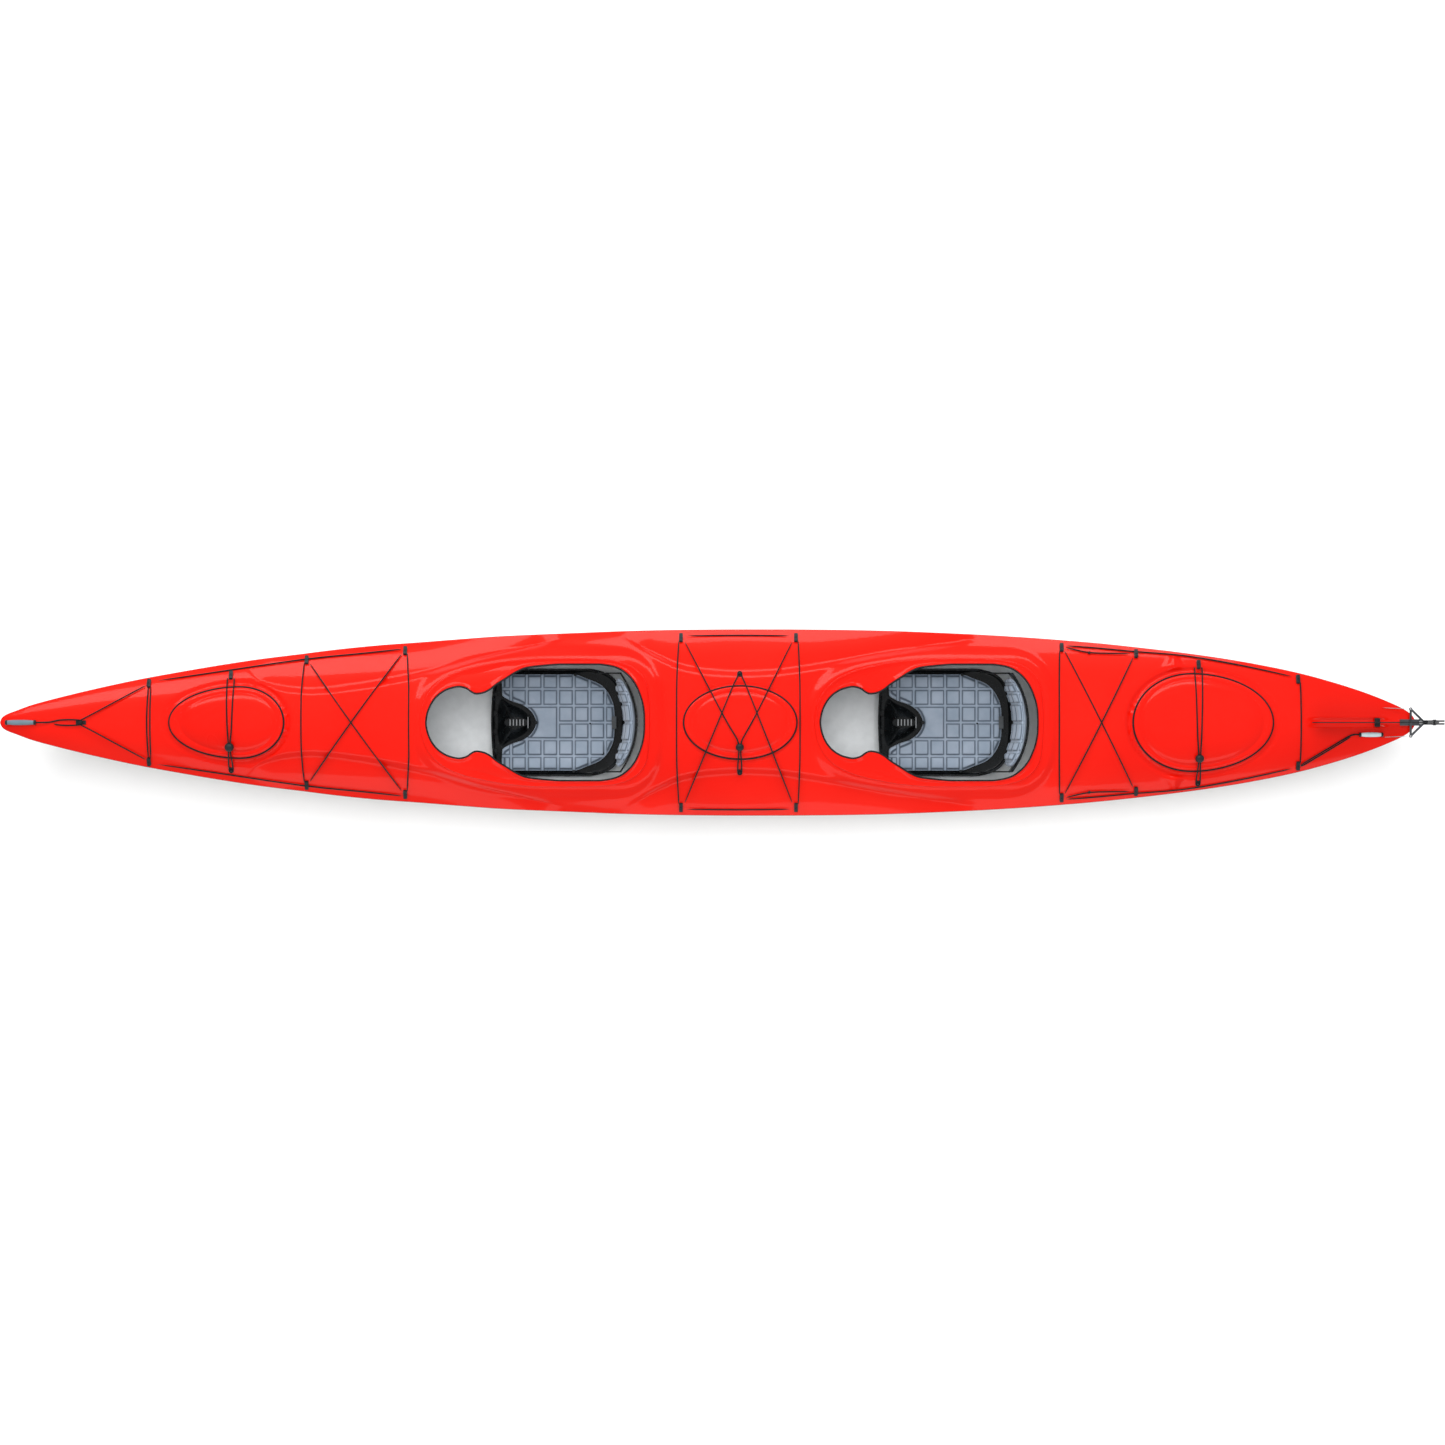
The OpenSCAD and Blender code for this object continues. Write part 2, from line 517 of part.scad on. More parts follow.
module strap_ball(s0, y, z, r) {
    rise = crown_z(s0, y * kw + ball_run) - crown_z(s0, y * kw - ball_run) - ball_dip[1] + ball_dip[0];
    translate([s0, y * kw, crown_z(s0, y * kw) + z])
        rotate([atan(rise / (2 * ball_run)) - 90, 0, 0]) bored_ball(r, ball_bore);
}
ball_bore = 7.5;
ball_run = 22;
ball_dip = [-2, -1.5];
bow_ball_r = 17.5;
day_ball_r = 15.5;
stern_ball_r = 16.5;
ball_y = 93;
stern_ball_y = 136;
bow_ball_z = lid_base + 12 + bow_ball_r + fit;
day_ball_z = lid_base + 13 + day_ball_r + fit;
stern_ball_z = lid_base + 12.5 + stern_ball_r + fit;
// across the boat: position, height over the crown, half spacing of the strands
bow_strap_form = upright([[170, cord_z, 13], [150, cord_z, 13], [131, lid_lift + 5, 13], [105, lid_lift + 9.5, 12],
    [75, lid_lift + 14, 11.5], [36, lid_lift + 14.5, 10], [0, lid_lift + 14.5, 9], [-36, lid_lift + 16, 7.5],
    [-ball_y + ball_run, bow_ball_z + ball_dip[0], ball_pair], [-ball_y, bow_ball_z, ball_pair],
    [-ball_y - ball_run, bow_ball_z + ball_dip[1], ball_pair], [-150, cord_z + 8, hook_turn],
    [-168, cord_z + 1, hook_turn]]);
stern_strap_form = upright([[211, cord_z, 14], [196, cord_z, 14], [181, lid_lift + 5, 14], [150, lid_lift + 10, 13],
    [110, lid_lift + 14.5, 12], [60, lid_lift + 15, 11], [0, lid_lift + 15, 9], [-60, lid_lift + 15.5, 8],
    [-stern_ball_y + ball_run, stern_ball_z + ball_dip[0], ball_pair], [-stern_ball_y, stern_ball_z, ball_pair],
    [-stern_ball_y - ball_run, stern_ball_z + ball_dip[1], ball_pair], [-205, cord_z + 8, hook_turn],
    [-219, cord_z + 1, hook_turn]]);
day_fore = 2561;
day_aft = 2996;
day_mid = 2783;
strap_off = 11;
function vee(p, from, to, narrow) = [p[0], p[1], spread(p[0], from, to, st(day_aft - day_fore) / 2 - strap_off, narrow),
    spread(p[0], from, to, st((day_aft + day_fore) / 2 - day_mid), 0)];
day_a_form = concat([for (p = [[312, cord_z], [260, lay + 1], [200, lay + 2], [150, lid_lift + 2],
    [110, lid_lift + 10], [70, lid_lift + 14.5], [31, lid_lift + 15], [-20, lid_lift + 15]])
    vee(p, 312, -ball_y, 0)], upright([[-ball_y + ball_run + 6, day_ball_z + ball_dip[0] - 1, ball_pair + 3],
    [-ball_y, day_ball_z, ball_pair], [-ball_y - ball_run, day_ball_z + ball_dip[1], ball_pair],
    [-155, cord_z + 9, hook_turn], [-177, cord_z + 1, hook_turn]]));
day_b_form = concat([for (p = [[-312, cord_z], [-260, lay + 1], [-200, lay + 2], [-150, lid_lift + 2],
    [-110, lid_lift + 10], [-70, lid_lift + 15], [-20, lid_lift + 18], [31, lid_lift + 21.5],
    [75, lid_lift + 18], [115, lid_lift + 11], [150, cord_z + 7]]) vee(p, -312, 182, hook_turn)],
    upright([[173, cord_z + 1, hook_turn]]));
module bow_hatch_strap() color("black") framed()
    strap(st(866), bow_strap_form, -178, -1, cord_z);
module stern_hatch_strap() color("black") framed()
    strap(st(4516), stern_strap_form, -229, -1, cord_z);
module day_hatch_strap_port() color("black") framed()
    strap(st(day_mid), day_b_form, 182, 1, cord_z);
module day_hatch_strap_starboard() color("black") framed()
    strap(st(day_mid), day_a_form, -186, -1, cord_z);
module bow_strap_ball() color("black") framed() strap_ball(st(866), -ball_y, bow_ball_z, bow_ball_r);
module day_strap_ball() color("black") framed() strap_ball(st(day_mid), -ball_y, day_ball_z, day_ball_r);
module stern_strap_ball() color("black") framed() strap_ball(st(4516), -stern_ball_y, stern_ball_z, stern_ball_r);

// grab toggles
toggle_bore = 3.4;
toggle_cap = 8;
toggle_lift = 1.5;
bow_toggle_s = st(23);
stern_toggle_s = st(5120);
stern_toggle_y = -46;
stern_toggle_l = toggle_l * 0.8;
stern_toggle_d = toggle_d * 0.9;
function toggle_end(s, y, d) = [s, y, crown_z(s, y) + d / 2 + toggle_lift];
module toggle(s, y, l, d) {
    a = toggle_end(s, y, d);
    b = toggle_end(s + l, y, d);
    tilt = atan((b[2] - a[2]) / l);
    translate(a) rotate([0, 90 - tilt, 0]) difference() {
        union() {
            cylinder(r = d / 2 - 1, h = l);
            cylinder(r = d / 2, h = toggle_cap);
            translate([0, 0, l - toggle_cap]) cylinder(r = d / 2, h = toggle_cap);
        }
        translate([0, 0, -1]) cylinder(r = toggle_bore, h = l + 2);
    }
}
module bow_toggle() color("slategray") framed() toggle(bow_toggle_s, 0, toggle_l, toggle_d);
module stern_toggle() color("lightsteelblue") framed()
    toggle(stern_toggle_s, stern_toggle_y, stern_toggle_l, stern_toggle_d);
tail_gap = 11;
module bow_toggle_cord() color("black") framed() {
    join = bow_toggle_s + toggle_l + 56;
    a = toggle_end(bow_toggle_s, 0, toggle_d);
    b = toggle_end(bow_toggle_s + toggle_l, 0, toggle_d);
    turn = eye_r + fit + cord_d / 2;
    leg = [[join, 0, 0], [join + 30, tail_gap, 0], [st(eye_s) - 20, tail_gap, clear]];
    round_eye = [for (k = [0 : turn_steps]) let (a = 90 - 180 * k / turn_steps)
        [st(eye_s) + turn * cos(a), turn * sin(a), clear]];
    back = [[st(eye_s) - 20, -tail_gap, clear], [join + 34, -tail_gap, 0], [join + 10, -tail_gap / 2, 0]];
    cord(concat([mix(a, b, 0.3), b + [off, 0, 0]], over_deck(concat(leg, round_eye, back), lay)), cord_d);
}
module stern_toggle_cord() color("black") framed() {
    a = toggle_end(stern_toggle_s, stern_toggle_y, stern_toggle_d);
    b = toggle_end(stern_toggle_s + stern_toggle_l, stern_toggle_y, stern_toggle_d);
    spot = signed(clip_spots[7], -1);
    tie = [stern_toggle_s - 24, stern_toggle_y + 3, 0];
    out = legs([tie, near(spot, off + 2, 5, clear)], 5);
    back = legs([near(spot, off + 2, -4, clear), tie - [2, 9, 0]], 5);
    cord(concat([mix(a, b, 0.7), a - [2, 0, 0]], over_deck(concat(out, back), lay)), cord_d);
}

// stern gear: bracket, yaw pin, head, yoke, blade and its rest
yaw_s = hull_l + 18;
gear_z = crown_z(st(5275), 0);
bracket_from = st(5275);
bracket_w = 24;
bracket_t = 4;
barrel_r = 9;
barrel_d = 40;
pin_r = 4;
pin_head_r = 7;
pin_head_t = 3;
head_z = gear_z + fit + bracket_t + fit;
head_t = 7;
head_r = 14;
arm_w = 17;
pivot_s = yaw_s + 48;
pivot_z = gear_z + 33;
cheek_t = 6;
cheek_from = pivot_s - 30;
cheek_to = pivot_s + 36;
cheek_top = pivot_z + 14;
blade_gap = 0.4;
arm_to = pivot_s - 21;
yoke_t = 4;
yoke_z = head_z + head_t + screw_gap;
yoke_s = yaw_s - 38;
yoke_bar = 8;
eye_hole_r = 2.2;
yoke_apex = cheek_from - 6;
module rudder_bracket() color("silver") framed() difference() {
    union() {
        translate([(bracket_from + yaw_s) / 2, 0, gear_z + fit])
            block(yaw_s - bracket_from, bracket_w, bracket_t, clip_r);
        translate([yaw_s, 0, gear_z - barrel_d]) cylinder(r = barrel_r, h = barrel_d + fit + bracket_t);
    }
    translate([yaw_s, 0, gear_z - 2 * barrel_d]) cylinder(r = pin_r + run, h = 4 * barrel_d);
}
module rudder_yaw_pin() color("silver") framed() translate([yaw_s, 0, gear_z - barrel_d - clip_foot]) {
    top = yoke_z + yoke_t + screw_gap - (gear_z - barrel_d - clip_foot);
    cylinder(r = pin_r, h = top + pin_head_t);
    translate([0, 0, top]) cylinder(r = pin_head_r, h = pin_head_t);
}
module rudder_head() color("dimgray") framed() difference() {
    union() {
        translate([yaw_s, 0, head_z]) cylinder(r = head_r, h = head_t);
        translate([yaw_s, -arm_w / 2, head_z]) cube([arm_to - yaw_s, arm_w, head_t]);
        for (way = [-1, 1]) translate([cheek_from, way * (blade_t / 2 + blade_gap + cheek_t / 2) - cheek_t / 2, head_z])
            cube([cheek_to - cheek_from, cheek_t, cheek_top - head_z]);
    }
    translate([yaw_s, 0, head_z - 1]) cylinder(r = pin_r + run, h = head_t + 2);
    translate([pivot_s, 0, pivot_z]) rotate([90, 0, 0]) cylinder(r = pin_r + run, h = 2 * arm_w, center = true);
}
module bar2(a, b, w) {
    d = w / 2 * unit([a[1] - b[1], b[0] - a[0]]);
    polygon([a + d, a - d, b - d, b + d]);
}
module rudder_yoke() color("gray") framed() translate([0, 0, yoke_z]) linear_extrude(yoke_t) difference() {
    union() {
        bar2([yoke_s, -yoke_w], [yoke_s, yoke_w], yoke_bar);
        for (way = [-1, 1]) {
            bar2([yoke_s, way * yoke_w], [yoke_apex, way * 2], yoke_bar);
            translate([yoke_s, way * yoke_w]) circle(r = 6);
        }
        translate([yaw_s, 0]) circle(r = head_r - 1);
        bar2([yoke_s, 0], [yaw_s, 0], 3 * yoke_bar);
    }
    translate([yaw_s, 0]) circle(r = pin_r + run);
    for (way = [-1, 1]) translate([yoke_s, way * yoke_w]) circle(r = eye_hole_r);
}
// blade outline, from its pivot: distance along, height; it lies stowed with its edge up
blade_form = [[9, -17], [40, -14], [100, -12], [430, -12], [455, -4], [463, 14], [460, 45], [440, 70],
    [400, 82], [150, 78], [100, 60], [60, 36], [30, 22], [9, 17]];
design_blade_l = 463;
root_r = 18;
root_turn = 108;
root_step = 12;
module rudder_blade() color("black") framed() translate([pivot_s, blade_t / 2, pivot_z]) rotate([90, 0, 0])
    linear_extrude(blade_t) difference() {
        polygon(concat([for (p = blade_form) [-p[0] * blade_l / design_blade_l, p[1]]],
            [for (a = [root_turn:-root_step:-root_turn]) root_r * [cos(a), sin(a)]]));
        circle(r = pin_r + run);
    }
module blade_pivot_bolt() color("silver") framed() translate([pivot_s, 0, pivot_z]) rotate([90, 0, 0]) {
    reach = blade_t / 2 + blade_gap + cheek_t + screw_gap;
    cylinder(r = pin_r, h = 2 * reach + 2 * pin_head_t, center = true);
    for (way = [0, 1]) mirror([0, 0, way]) translate([0, 0, reach]) cylinder(r = pin_head_r, h = pin_head_t);
}
rest_s = 5188;
rest_l = 20;
rest_w = 34;
rest_gap = 1.2;
module rudder_rest() color("black") framed() {
    z0 = crown_z(st(rest_s), 0) + clip_lift;
    translate([st(rest_s), 0, z0]) block(rest_l, rest_w, pivot_z + blade_form[2][1] - rest_gap - z0, clip_r);
}
cable_r = 1.5;
cable_from = 5200;
cable_y = 56;
cable_lift = 3;
tube_r = 4;
module rudder_cables() color("silver") framed() for (way = [-1, 1]) {
    a = [st(cable_from), way * cable_y, crown_z(st(cable_from), cable_y) + cable_lift];
    b = [yoke_s - 6 - 2 * fit, way * yoke_w, yoke_z + yoke_t / 2];
    cord([a, mix(a, b, 0.5), b], 2 * cable_r);
}

// cable tubes inside, from the rear pedal rails to the stern
tube_form = [[3100, 300], [3500, 300], [3900, 284], [4300, 250], [4700, 196], [5000, 130], [5160, 70]];
tube_drop = 60;
tube_stops = [for (p = tube_form) let (s = st(p[0]), z = sheer_z(s) - tube_drop)
    [s, min(p[1] * kw, wall_y(s, z, shell_t) - tube_r - 2 * fit), z]];
tube_ys = [for (p = tube_stops) [p[0], p[1]]];
tube_zs = [for (p = tube_stops) [p[0], p[2]]];
module cable_tubes() color("black") framed() for (way = [-1, 1])
    cord([for (p = tube_stops) [p[0], way * p[1], p[2]]], 2 * tube_r);

// seats
front_seat = st(2091);
rear_seat = st(3573);
design_cushion_l = 450;
design_cushion_w = 390;
rail_y = 30;
rail_w = 14;
rail_h = 20;
foot_l = 50;
foot_h = 10;
foot_s = 85;
rail_spare = 20;
rail_l = 2 * (foot_s + seat_travel + rail_spare) + foot_l;
pan_z = shell_t + fit + rail_h + fit + foot_h;
pan_t = 4;
pan_wall = 30;
weld = 2;
cushion_z = pan_z + pan_t + fit;
cushion_form = [[-98, 0], [-106, 25], [-140, 60], [-197, 87], [-225, 110], [-225, 165], [-219, 183],
    [-205, 195], [60, 195], [112, 178], [166, 154], [206, 107], [223, 56], [225, 0]];
pan_form = [[-256, 0], [-253, 90], [-246, 150], [-236, 188], [-212, 203], [110, 203], [170, 191],
    [216, 160], [244, 100], [252, 0]];
pommel_form = [[-240, 0], [-238, 60], [-222, 98], [-197, 80], [-140, 53], [-110, 22], [-104, 0]];
pommel_h = 56;
function seat_line(form) = let (n = len(form) - 1, side = [for (p = form)
    [p[0] * cushion_l / design_cushion_l, p[1] * cushion_w / design_cushion_w]])
    concat([for (k = [0 : n]) [side[k][0], -side[k][1]]], [for (k = [n - 1 : -1 : 1]) side[k]]);
module seat_rails() color("silver") framed() for (s0 = [front_seat, rear_seat], way = [-1, 1])
    translate([s0 - rail_l / 2, way * rail_y - rail_w / 2, shell_t + fit]) cube([rail_l, rail_w, rail_h]);
tilt_s = 140 * cushion_l / design_cushion_l;
tilt_z = pan_z + 50;
tilt_y = cushion_w / 2 - 4;
ear_l = 26;
ear_t = 6;
ear_top = 12;
lug_l = 12;
lug_t = 4;
lug_top = 6;
arm_t = 5;
arm_reach = 10;
lever_s = -116 * cushion_l / design_cushion_l;
lever_z = cushion_z + pommel_h + 5;
lever_r = 3;
lever_y = 26 * cushion_w / design_cushion_w;
lever_l = 90 * cushion_l / design_cushion_l;
grip_w = 40 * cushion_w / design_cushion_w;
grip_t = 4;
ribs = 5;
rib_l = 4;
rib_w = 24;
rib_h = 1.5;
module seat_pan() {
    outline = seat_line(pan_form);
    difference() {
        union() {
            translate([0, 0, pan_z]) linear_extrude(pan_t) polygon(outline);
            translate([0, 0, pan_z]) linear_extrude(pan_wall) difference() {
                polygon(outline);
                polygon(grown(outline, -pan_t));
            }
            translate([0, 0, pan_z]) linear_extrude(pan_t + pommel_h) polygon(seat_line(pommel_form));
            for (way = [-1, 1], fore = [-1, 1])
                translate([fore * foot_s - foot_l / 2, way * rail_y - rail_w / 2, pan_z - foot_h])
                    cube([foot_l, rail_w, foot_h + weld]);
            for (way = [-1, 1]) {
                translate([tilt_s - ear_l / 2, way * (tilt_y + ear_t / 2) - ear_t / 2, pan_z + weld])
                    cube([ear_l, ear_t, tilt_z + ear_top - pan_z]);
                translate([lever_s - lug_l / 2, way * (lever_y - lug_t / 2) - lug_t / 2, pan_z + weld])
                    cube([lug_l, lug_t, lever_z + lug_top - pan_z]);
            }
        }
        for (way = [-1, 1]) translate([tilt_s, way * (tilt_y + ear_t / 2), tilt_z]) rotate([90, 0, 0])
            cylinder(r = pin_r + run, h = 2 * ear_t, center = true);
        translate([lever_s, 0, lever_z]) rotate([90, 0, 0])
            cylinder(r = lever_r + run, h = 4 * lever_y, center = true);
    }
}
module seat_cushion() {
    translate([0, 0, cushion_z]) linear_extrude(cushion_t) polygon(seat_line(cushion_form));
}
module seat_lever() {
    grip_z = lever_z - lever_r + 1;
    translate([lever_s - lever_l / 2, 0, grip_z]) linear_extrude(grip_t) scale([lever_l / grip_w, 1])
        circle(d = grip_w);
    translate([lever_s, 0, lever_z]) rotate([90, 0, 0]) cylinder(r = lever_r, h = 2 * lever_y, center = true);
    for (k = [0 : ribs - 1]) translate([lever_s - lever_l * (0.2 + 0.14 * k), 0, grip_z + grip_t - eps])
        block(rib_l, rib_w, rib_h, 1);
}
band_r = 315;
band_t = 5;
pad_t = 28;
pad_gap = 0.5;
back_s = 304;
band_y = tilt_y - arm_t / 2 - 1;
pad_in = 5;
back_z = pan_z + 60;
arm_lap = 30;
pad_margin = 3;
arc_steps = 16;
function arc_line(r, y, x0) = [for (k = [-arc_steps : arc_steps]) let (a = asin(y / r) * k / arc_steps)
    [x0 + r * cos(a), r * sin(a)]];
function reversed(o) = [for (k = [len(o) - 1 : -1 : 0]) o[k]];
module arc_band(r0, r1, y) {
    polygon(concat(arc_line(r1, y, back_s - band_r), reversed(arc_line(r0, y, back_s - band_r))));
}
module seat_back_frame() {
    end_s = back_s - band_r + sqrt(band_r * band_r - band_y * band_y);
    translate([0, 0, back_z]) linear_extrude(backrest_h) arc_band(band_r - band_t, band_r, band_y);
    for (way = [-1, 1]) {
        translate([tilt_s - arm_reach, way * (tilt_y - fit - arm_t / 2) - arm_t / 2, tilt_z - arm_reach])
            cube([end_s - tilt_s + arm_reach, arm_t, back_z + arm_lap - tilt_z + arm_reach]);
        translate([tilt_s, way * tilt_y, tilt_z]) rotate([90, 0, 0])
            cylinder(r = pin_r, h = 2 * ear_t, center = true);
    }
}
module seat_back_pad() {
    translate([0, 0, back_z + pad_margin]) linear_extrude(backrest_h - 2 * pad_margin)
        arc_band(band_r - band_t - pad_gap - pad_t, band_r - band_t - pad_gap, band_y - pad_in);
}
module seated(s0) {
    framed() translate([s0, 0, 0]) children();
}
module front_seat_pan() color("black") seated(front_seat) seat_pan();
module rear_seat_pan() color("black") seated(rear_seat) seat_pan();
module front_seat_cushion() color("slategray") seated(front_seat) seat_cushion();
module rear_seat_cushion() color("slategray") seated(rear_seat) seat_cushion();
module front_seat_lever() color("silver") seated(front_seat) seat_lever();
module rear_seat_lever() color("silver") seated(rear_seat) seat_lever();
module front_back_frame() color("black") seated(front_seat) seat_back_frame();
module rear_back_frame() color("black") seated(rear_seat) seat_back_frame();
module front_back_pad() color("slategray") seated(front_seat) seat_back_pad();
module rear_back_pad() color("slategray") seated(rear_seat) seat_back_pad();

// footrests on the hull sides: pegs in front, rudder pedals behind
front_feet = st(1400);
rear_feet = st(2860);
foot_rail_z = 130 * kd;
foot_rail_h = 30;
foot_rail_t = 10;
slider_l = 60;
slider_t = 12;
peg_t = 10;
peg_w = 75;
peg_h = 90;
function rail_wall(s) = wall_y(s, foot_rail_z - foot_rail_h / 2, shell_t);
function rail_turn(s0) = atan((rail_wall(s0 + foot_rail_l / 2) - rail_wall(s0 - foot_rail_l / 2)) / foot_rail_l);
function rail_out(s0) = (rail_wall(s0 + foot_rail_l / 2) + rail_wall(s0 - foot_rail_l / 2)) / 2 - 2 * fit;
// children drawn for the starboard side, with y measured inwards from the hull wall
module at_rail(s0, way) {
    framed() translate([s0, way * rail_out(s0), foot_rail_z]) rotate([0, 0, way * rail_turn(s0)])
        mirror([0, way > 0 ? 1 : 0, 0]) children();
}
module foot_rails() color("silver") for (s0 = [front_feet, rear_feet], way = [-1, 1]) at_rail(s0, way)
    translate([-foot_rail_l / 2, 0, -foot_rail_h / 2]) cube([foot_rail_l, foot_rail_t, foot_rail_h]);
slider_y = foot_rail_t + fit;
module foot_slider() {
    translate([-slider_l / 2, slider_y, -foot_rail_h / 2]) cube([slider_l, slider_t, foot_rail_h]);
}
module foot_peg() {
    foot_slider();
    translate([-peg_t / 2, slider_y + slider_t - 1, -peg_h / 2]) cube([peg_t, peg_w, peg_h]);
}
pedal_t = 10;
pedal_w = 64;
pedal_pin_l = 80;
pedal_barrel_r = 9;
module pedal_carrier() {
    foot_slider();
    translate([0, slider_y + slider_t - 1, 0]) rotate([-90, 0, 0]) cylinder(r = pin_r, h = pedal_pin_l);
}
module rudder_pedal() difference() {
    union() {
        translate([0, slider_y + slider_t + fit, 0]) rotate([-90, 0, 0]) cylinder(r = pedal_barrel_r, h = pedal_w);
        translate([-pedal_t / 2, slider_y + slider_t + fit, 0]) cube([pedal_t, pedal_w, pedal_h]);
    }
    translate([0, slider_y, 0]) rotate([-90, 0, 0]) cylinder(r = pin_r + run, h = 2 * pedal_pin_l);
}
module front_foot_peg_port() color("black") at_rail(front_feet, -1) foot_peg();
module front_foot_peg_starboard() color("black") at_rail(front_feet, 1) foot_peg();
module pedal_carrier_port() color("black") at_rail(rear_feet, -1) pedal_carrier();
module pedal_carrier_starboard() color("black") at_rail(rear_feet, 1) pedal_carrier();
module rudder_pedal_port() color("black") at_rail(rear_feet, -1) rudder_pedal();
module rudder_pedal_starboard() color("black") at_rail(rear_feet, 1) rudder_pedal();

hull_shell();
deck_shell();
seam_strips();
cockpit_trims();
bow_bulkhead();
mid_bulkhead();
stern_bulkhead();
day_hatch_tub();
hatch_gaskets();
deck_clips();
deck_clip_screws();
cord_hooks();
perimeter_lines();
bow_bungee();
fore_bungee();
mid_bungee();
aft_bungee();
cord_stoppers();
bow_toggle();
bow_toggle_cord();
stern_toggle();
stern_toggle_cord();
rudder_bracket();
rudder_rest();
rudder_cables();
cable_tubes();
seat_rails();
foot_rails();
bow_hatch_lid();
day_hatch_lid();
stern_hatch_lid();
bow_hatch_strap();
bow_strap_ball();
day_hatch_strap_starboard();
day_strap_ball();
day_hatch_strap_port();
stern_hatch_strap();
stern_strap_ball();
rudder_head();
rudder_yoke();
rudder_yaw_pin();
blade_pivot_bolt();
rudder_blade();
front_seat_pan();
front_seat_cushion();
front_back_frame();
front_back_pad();
front_seat_lever();
rear_seat_pan();
rear_seat_cushion();
rear_back_frame();
rear_back_pad();
rear_seat_lever();
front_foot_peg_port();
front_foot_peg_starboard();
pedal_carrier_port();
pedal_carrier_starboard();
rudder_pedal_port();
rudder_pedal_starboard();
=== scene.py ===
"""A two-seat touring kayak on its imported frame: gloss deck and hull, quilted seats, cords and rudder."""
import json
import math

import bpy
import numpy as np
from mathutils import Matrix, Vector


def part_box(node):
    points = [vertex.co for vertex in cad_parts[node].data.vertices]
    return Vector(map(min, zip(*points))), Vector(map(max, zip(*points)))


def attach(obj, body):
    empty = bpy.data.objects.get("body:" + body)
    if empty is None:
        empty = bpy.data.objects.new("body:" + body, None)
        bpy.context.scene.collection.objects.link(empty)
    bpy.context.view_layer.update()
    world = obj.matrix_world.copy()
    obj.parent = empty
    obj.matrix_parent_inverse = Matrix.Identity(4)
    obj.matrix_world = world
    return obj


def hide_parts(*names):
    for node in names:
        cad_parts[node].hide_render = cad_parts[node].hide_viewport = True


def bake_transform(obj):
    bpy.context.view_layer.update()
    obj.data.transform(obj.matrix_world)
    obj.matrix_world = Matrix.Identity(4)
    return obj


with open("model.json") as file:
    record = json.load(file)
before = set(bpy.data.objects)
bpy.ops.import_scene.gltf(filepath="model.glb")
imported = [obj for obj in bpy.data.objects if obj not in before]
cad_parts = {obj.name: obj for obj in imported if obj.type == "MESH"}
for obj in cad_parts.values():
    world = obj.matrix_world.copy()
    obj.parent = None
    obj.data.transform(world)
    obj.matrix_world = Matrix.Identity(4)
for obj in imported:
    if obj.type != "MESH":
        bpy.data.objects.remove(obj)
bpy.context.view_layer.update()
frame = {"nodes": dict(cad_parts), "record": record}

NODES = frame["nodes"]
RECORD = frame["record"]
BODY_OF = {node: body for body, nodes in RECORD["behaviour"]["bodies"].items() for node in nodes}

# every length below is in millimetres: stations run aft from the bow tip, y is positive to starboard
MM = 0.001
MIDSHIPS = 2718

# hull form along the boat: half breadth, keel height, height of the deck edge and camber of the deck
HALF = [(0, 0), (0.5, 4.5), (2, 9), (5, 14), (10, 20), (26, 30), (60, 43), (110, 62), (180, 82), (270, 105),
        (366, 128), (518, 161), (669, 189), (820, 215), (971, 238), (1122, 257), (1273, 276), (1424, 291),
        (1575, 302), (1727, 314), (1878, 325), (2029, 332), (2180, 338), (2331, 344), (2482, 348),
        (2633, 350), (2784, 351), (2936, 351), (3087, 350), (3238, 348), (3389, 344), (3540, 338),
        (3691, 331), (3842, 322), (3993, 311), (4145, 298), (4296, 282), (4447, 264), (4598, 243),
        (4749, 217), (4900, 185), (5051, 143), (5150, 110), (5240, 74), (5290, 50), (5320, 29),
        (5327, 21), (5331, 14), (5333.3, 7), (5334, 0)]
KEEL = [(0, 286), (10, 262), (26, 238), (60, 198), (110, 154), (180, 110), (270, 72), (366, 46), (518, 26),
        (669, 16), (971, 6), (1424, 0), (3993, 0), (4447, 5), (4749, 12), (4900, 20), (5051, 36), (5150, 56),
        (5240, 100), (5290, 148), (5320, 190), (5334, 222)]
SHEER = [(0, 332), (270, 311), (669, 283), (1122, 258), (1575, 243), (2180, 234), (2784, 230), (3389, 228),
         (3993, 230), (4447, 236), (4900, 250), (5334, 272)]
CAMBER = [(0, 4), (60, 12), (180, 24), (366, 38), (669, 58), (971, 76), (1273, 92), (1575, 104), (2029, 100),
          (2482, 90), (2784, 84), (3087, 89), (3389, 87), (3993, 70), (4447, 56), (4749, 44), (4900, 36),
          (5150, 20), (5334, 6)]
SECTION = [(0, 0), (0.14, 0), (0.38, 0.03), (0.58, 0.075), (0.74, 0.15), (0.86, 0.29), (0.94, 0.5),
           (0.985, 0.78), (1, 1)]
# moulded creases: the edge of the raised spine, with a scoop between it and the deck edge
FORE_CREASE = [(910, 213), (977, 144), (1083, 112), (1177, 103), (1334, 119), (1534, 157), (1710, 203),
               (1789, 229), (1934, 269), (2127, 315)]
MID_CREASE = [(2331, 327), (2482, 234), (2548, 201), (2659, 176), (2786, 168), (2912, 173), (3039, 191),
              (3236, 229), (3710, 315)]
SHEET = 3.5

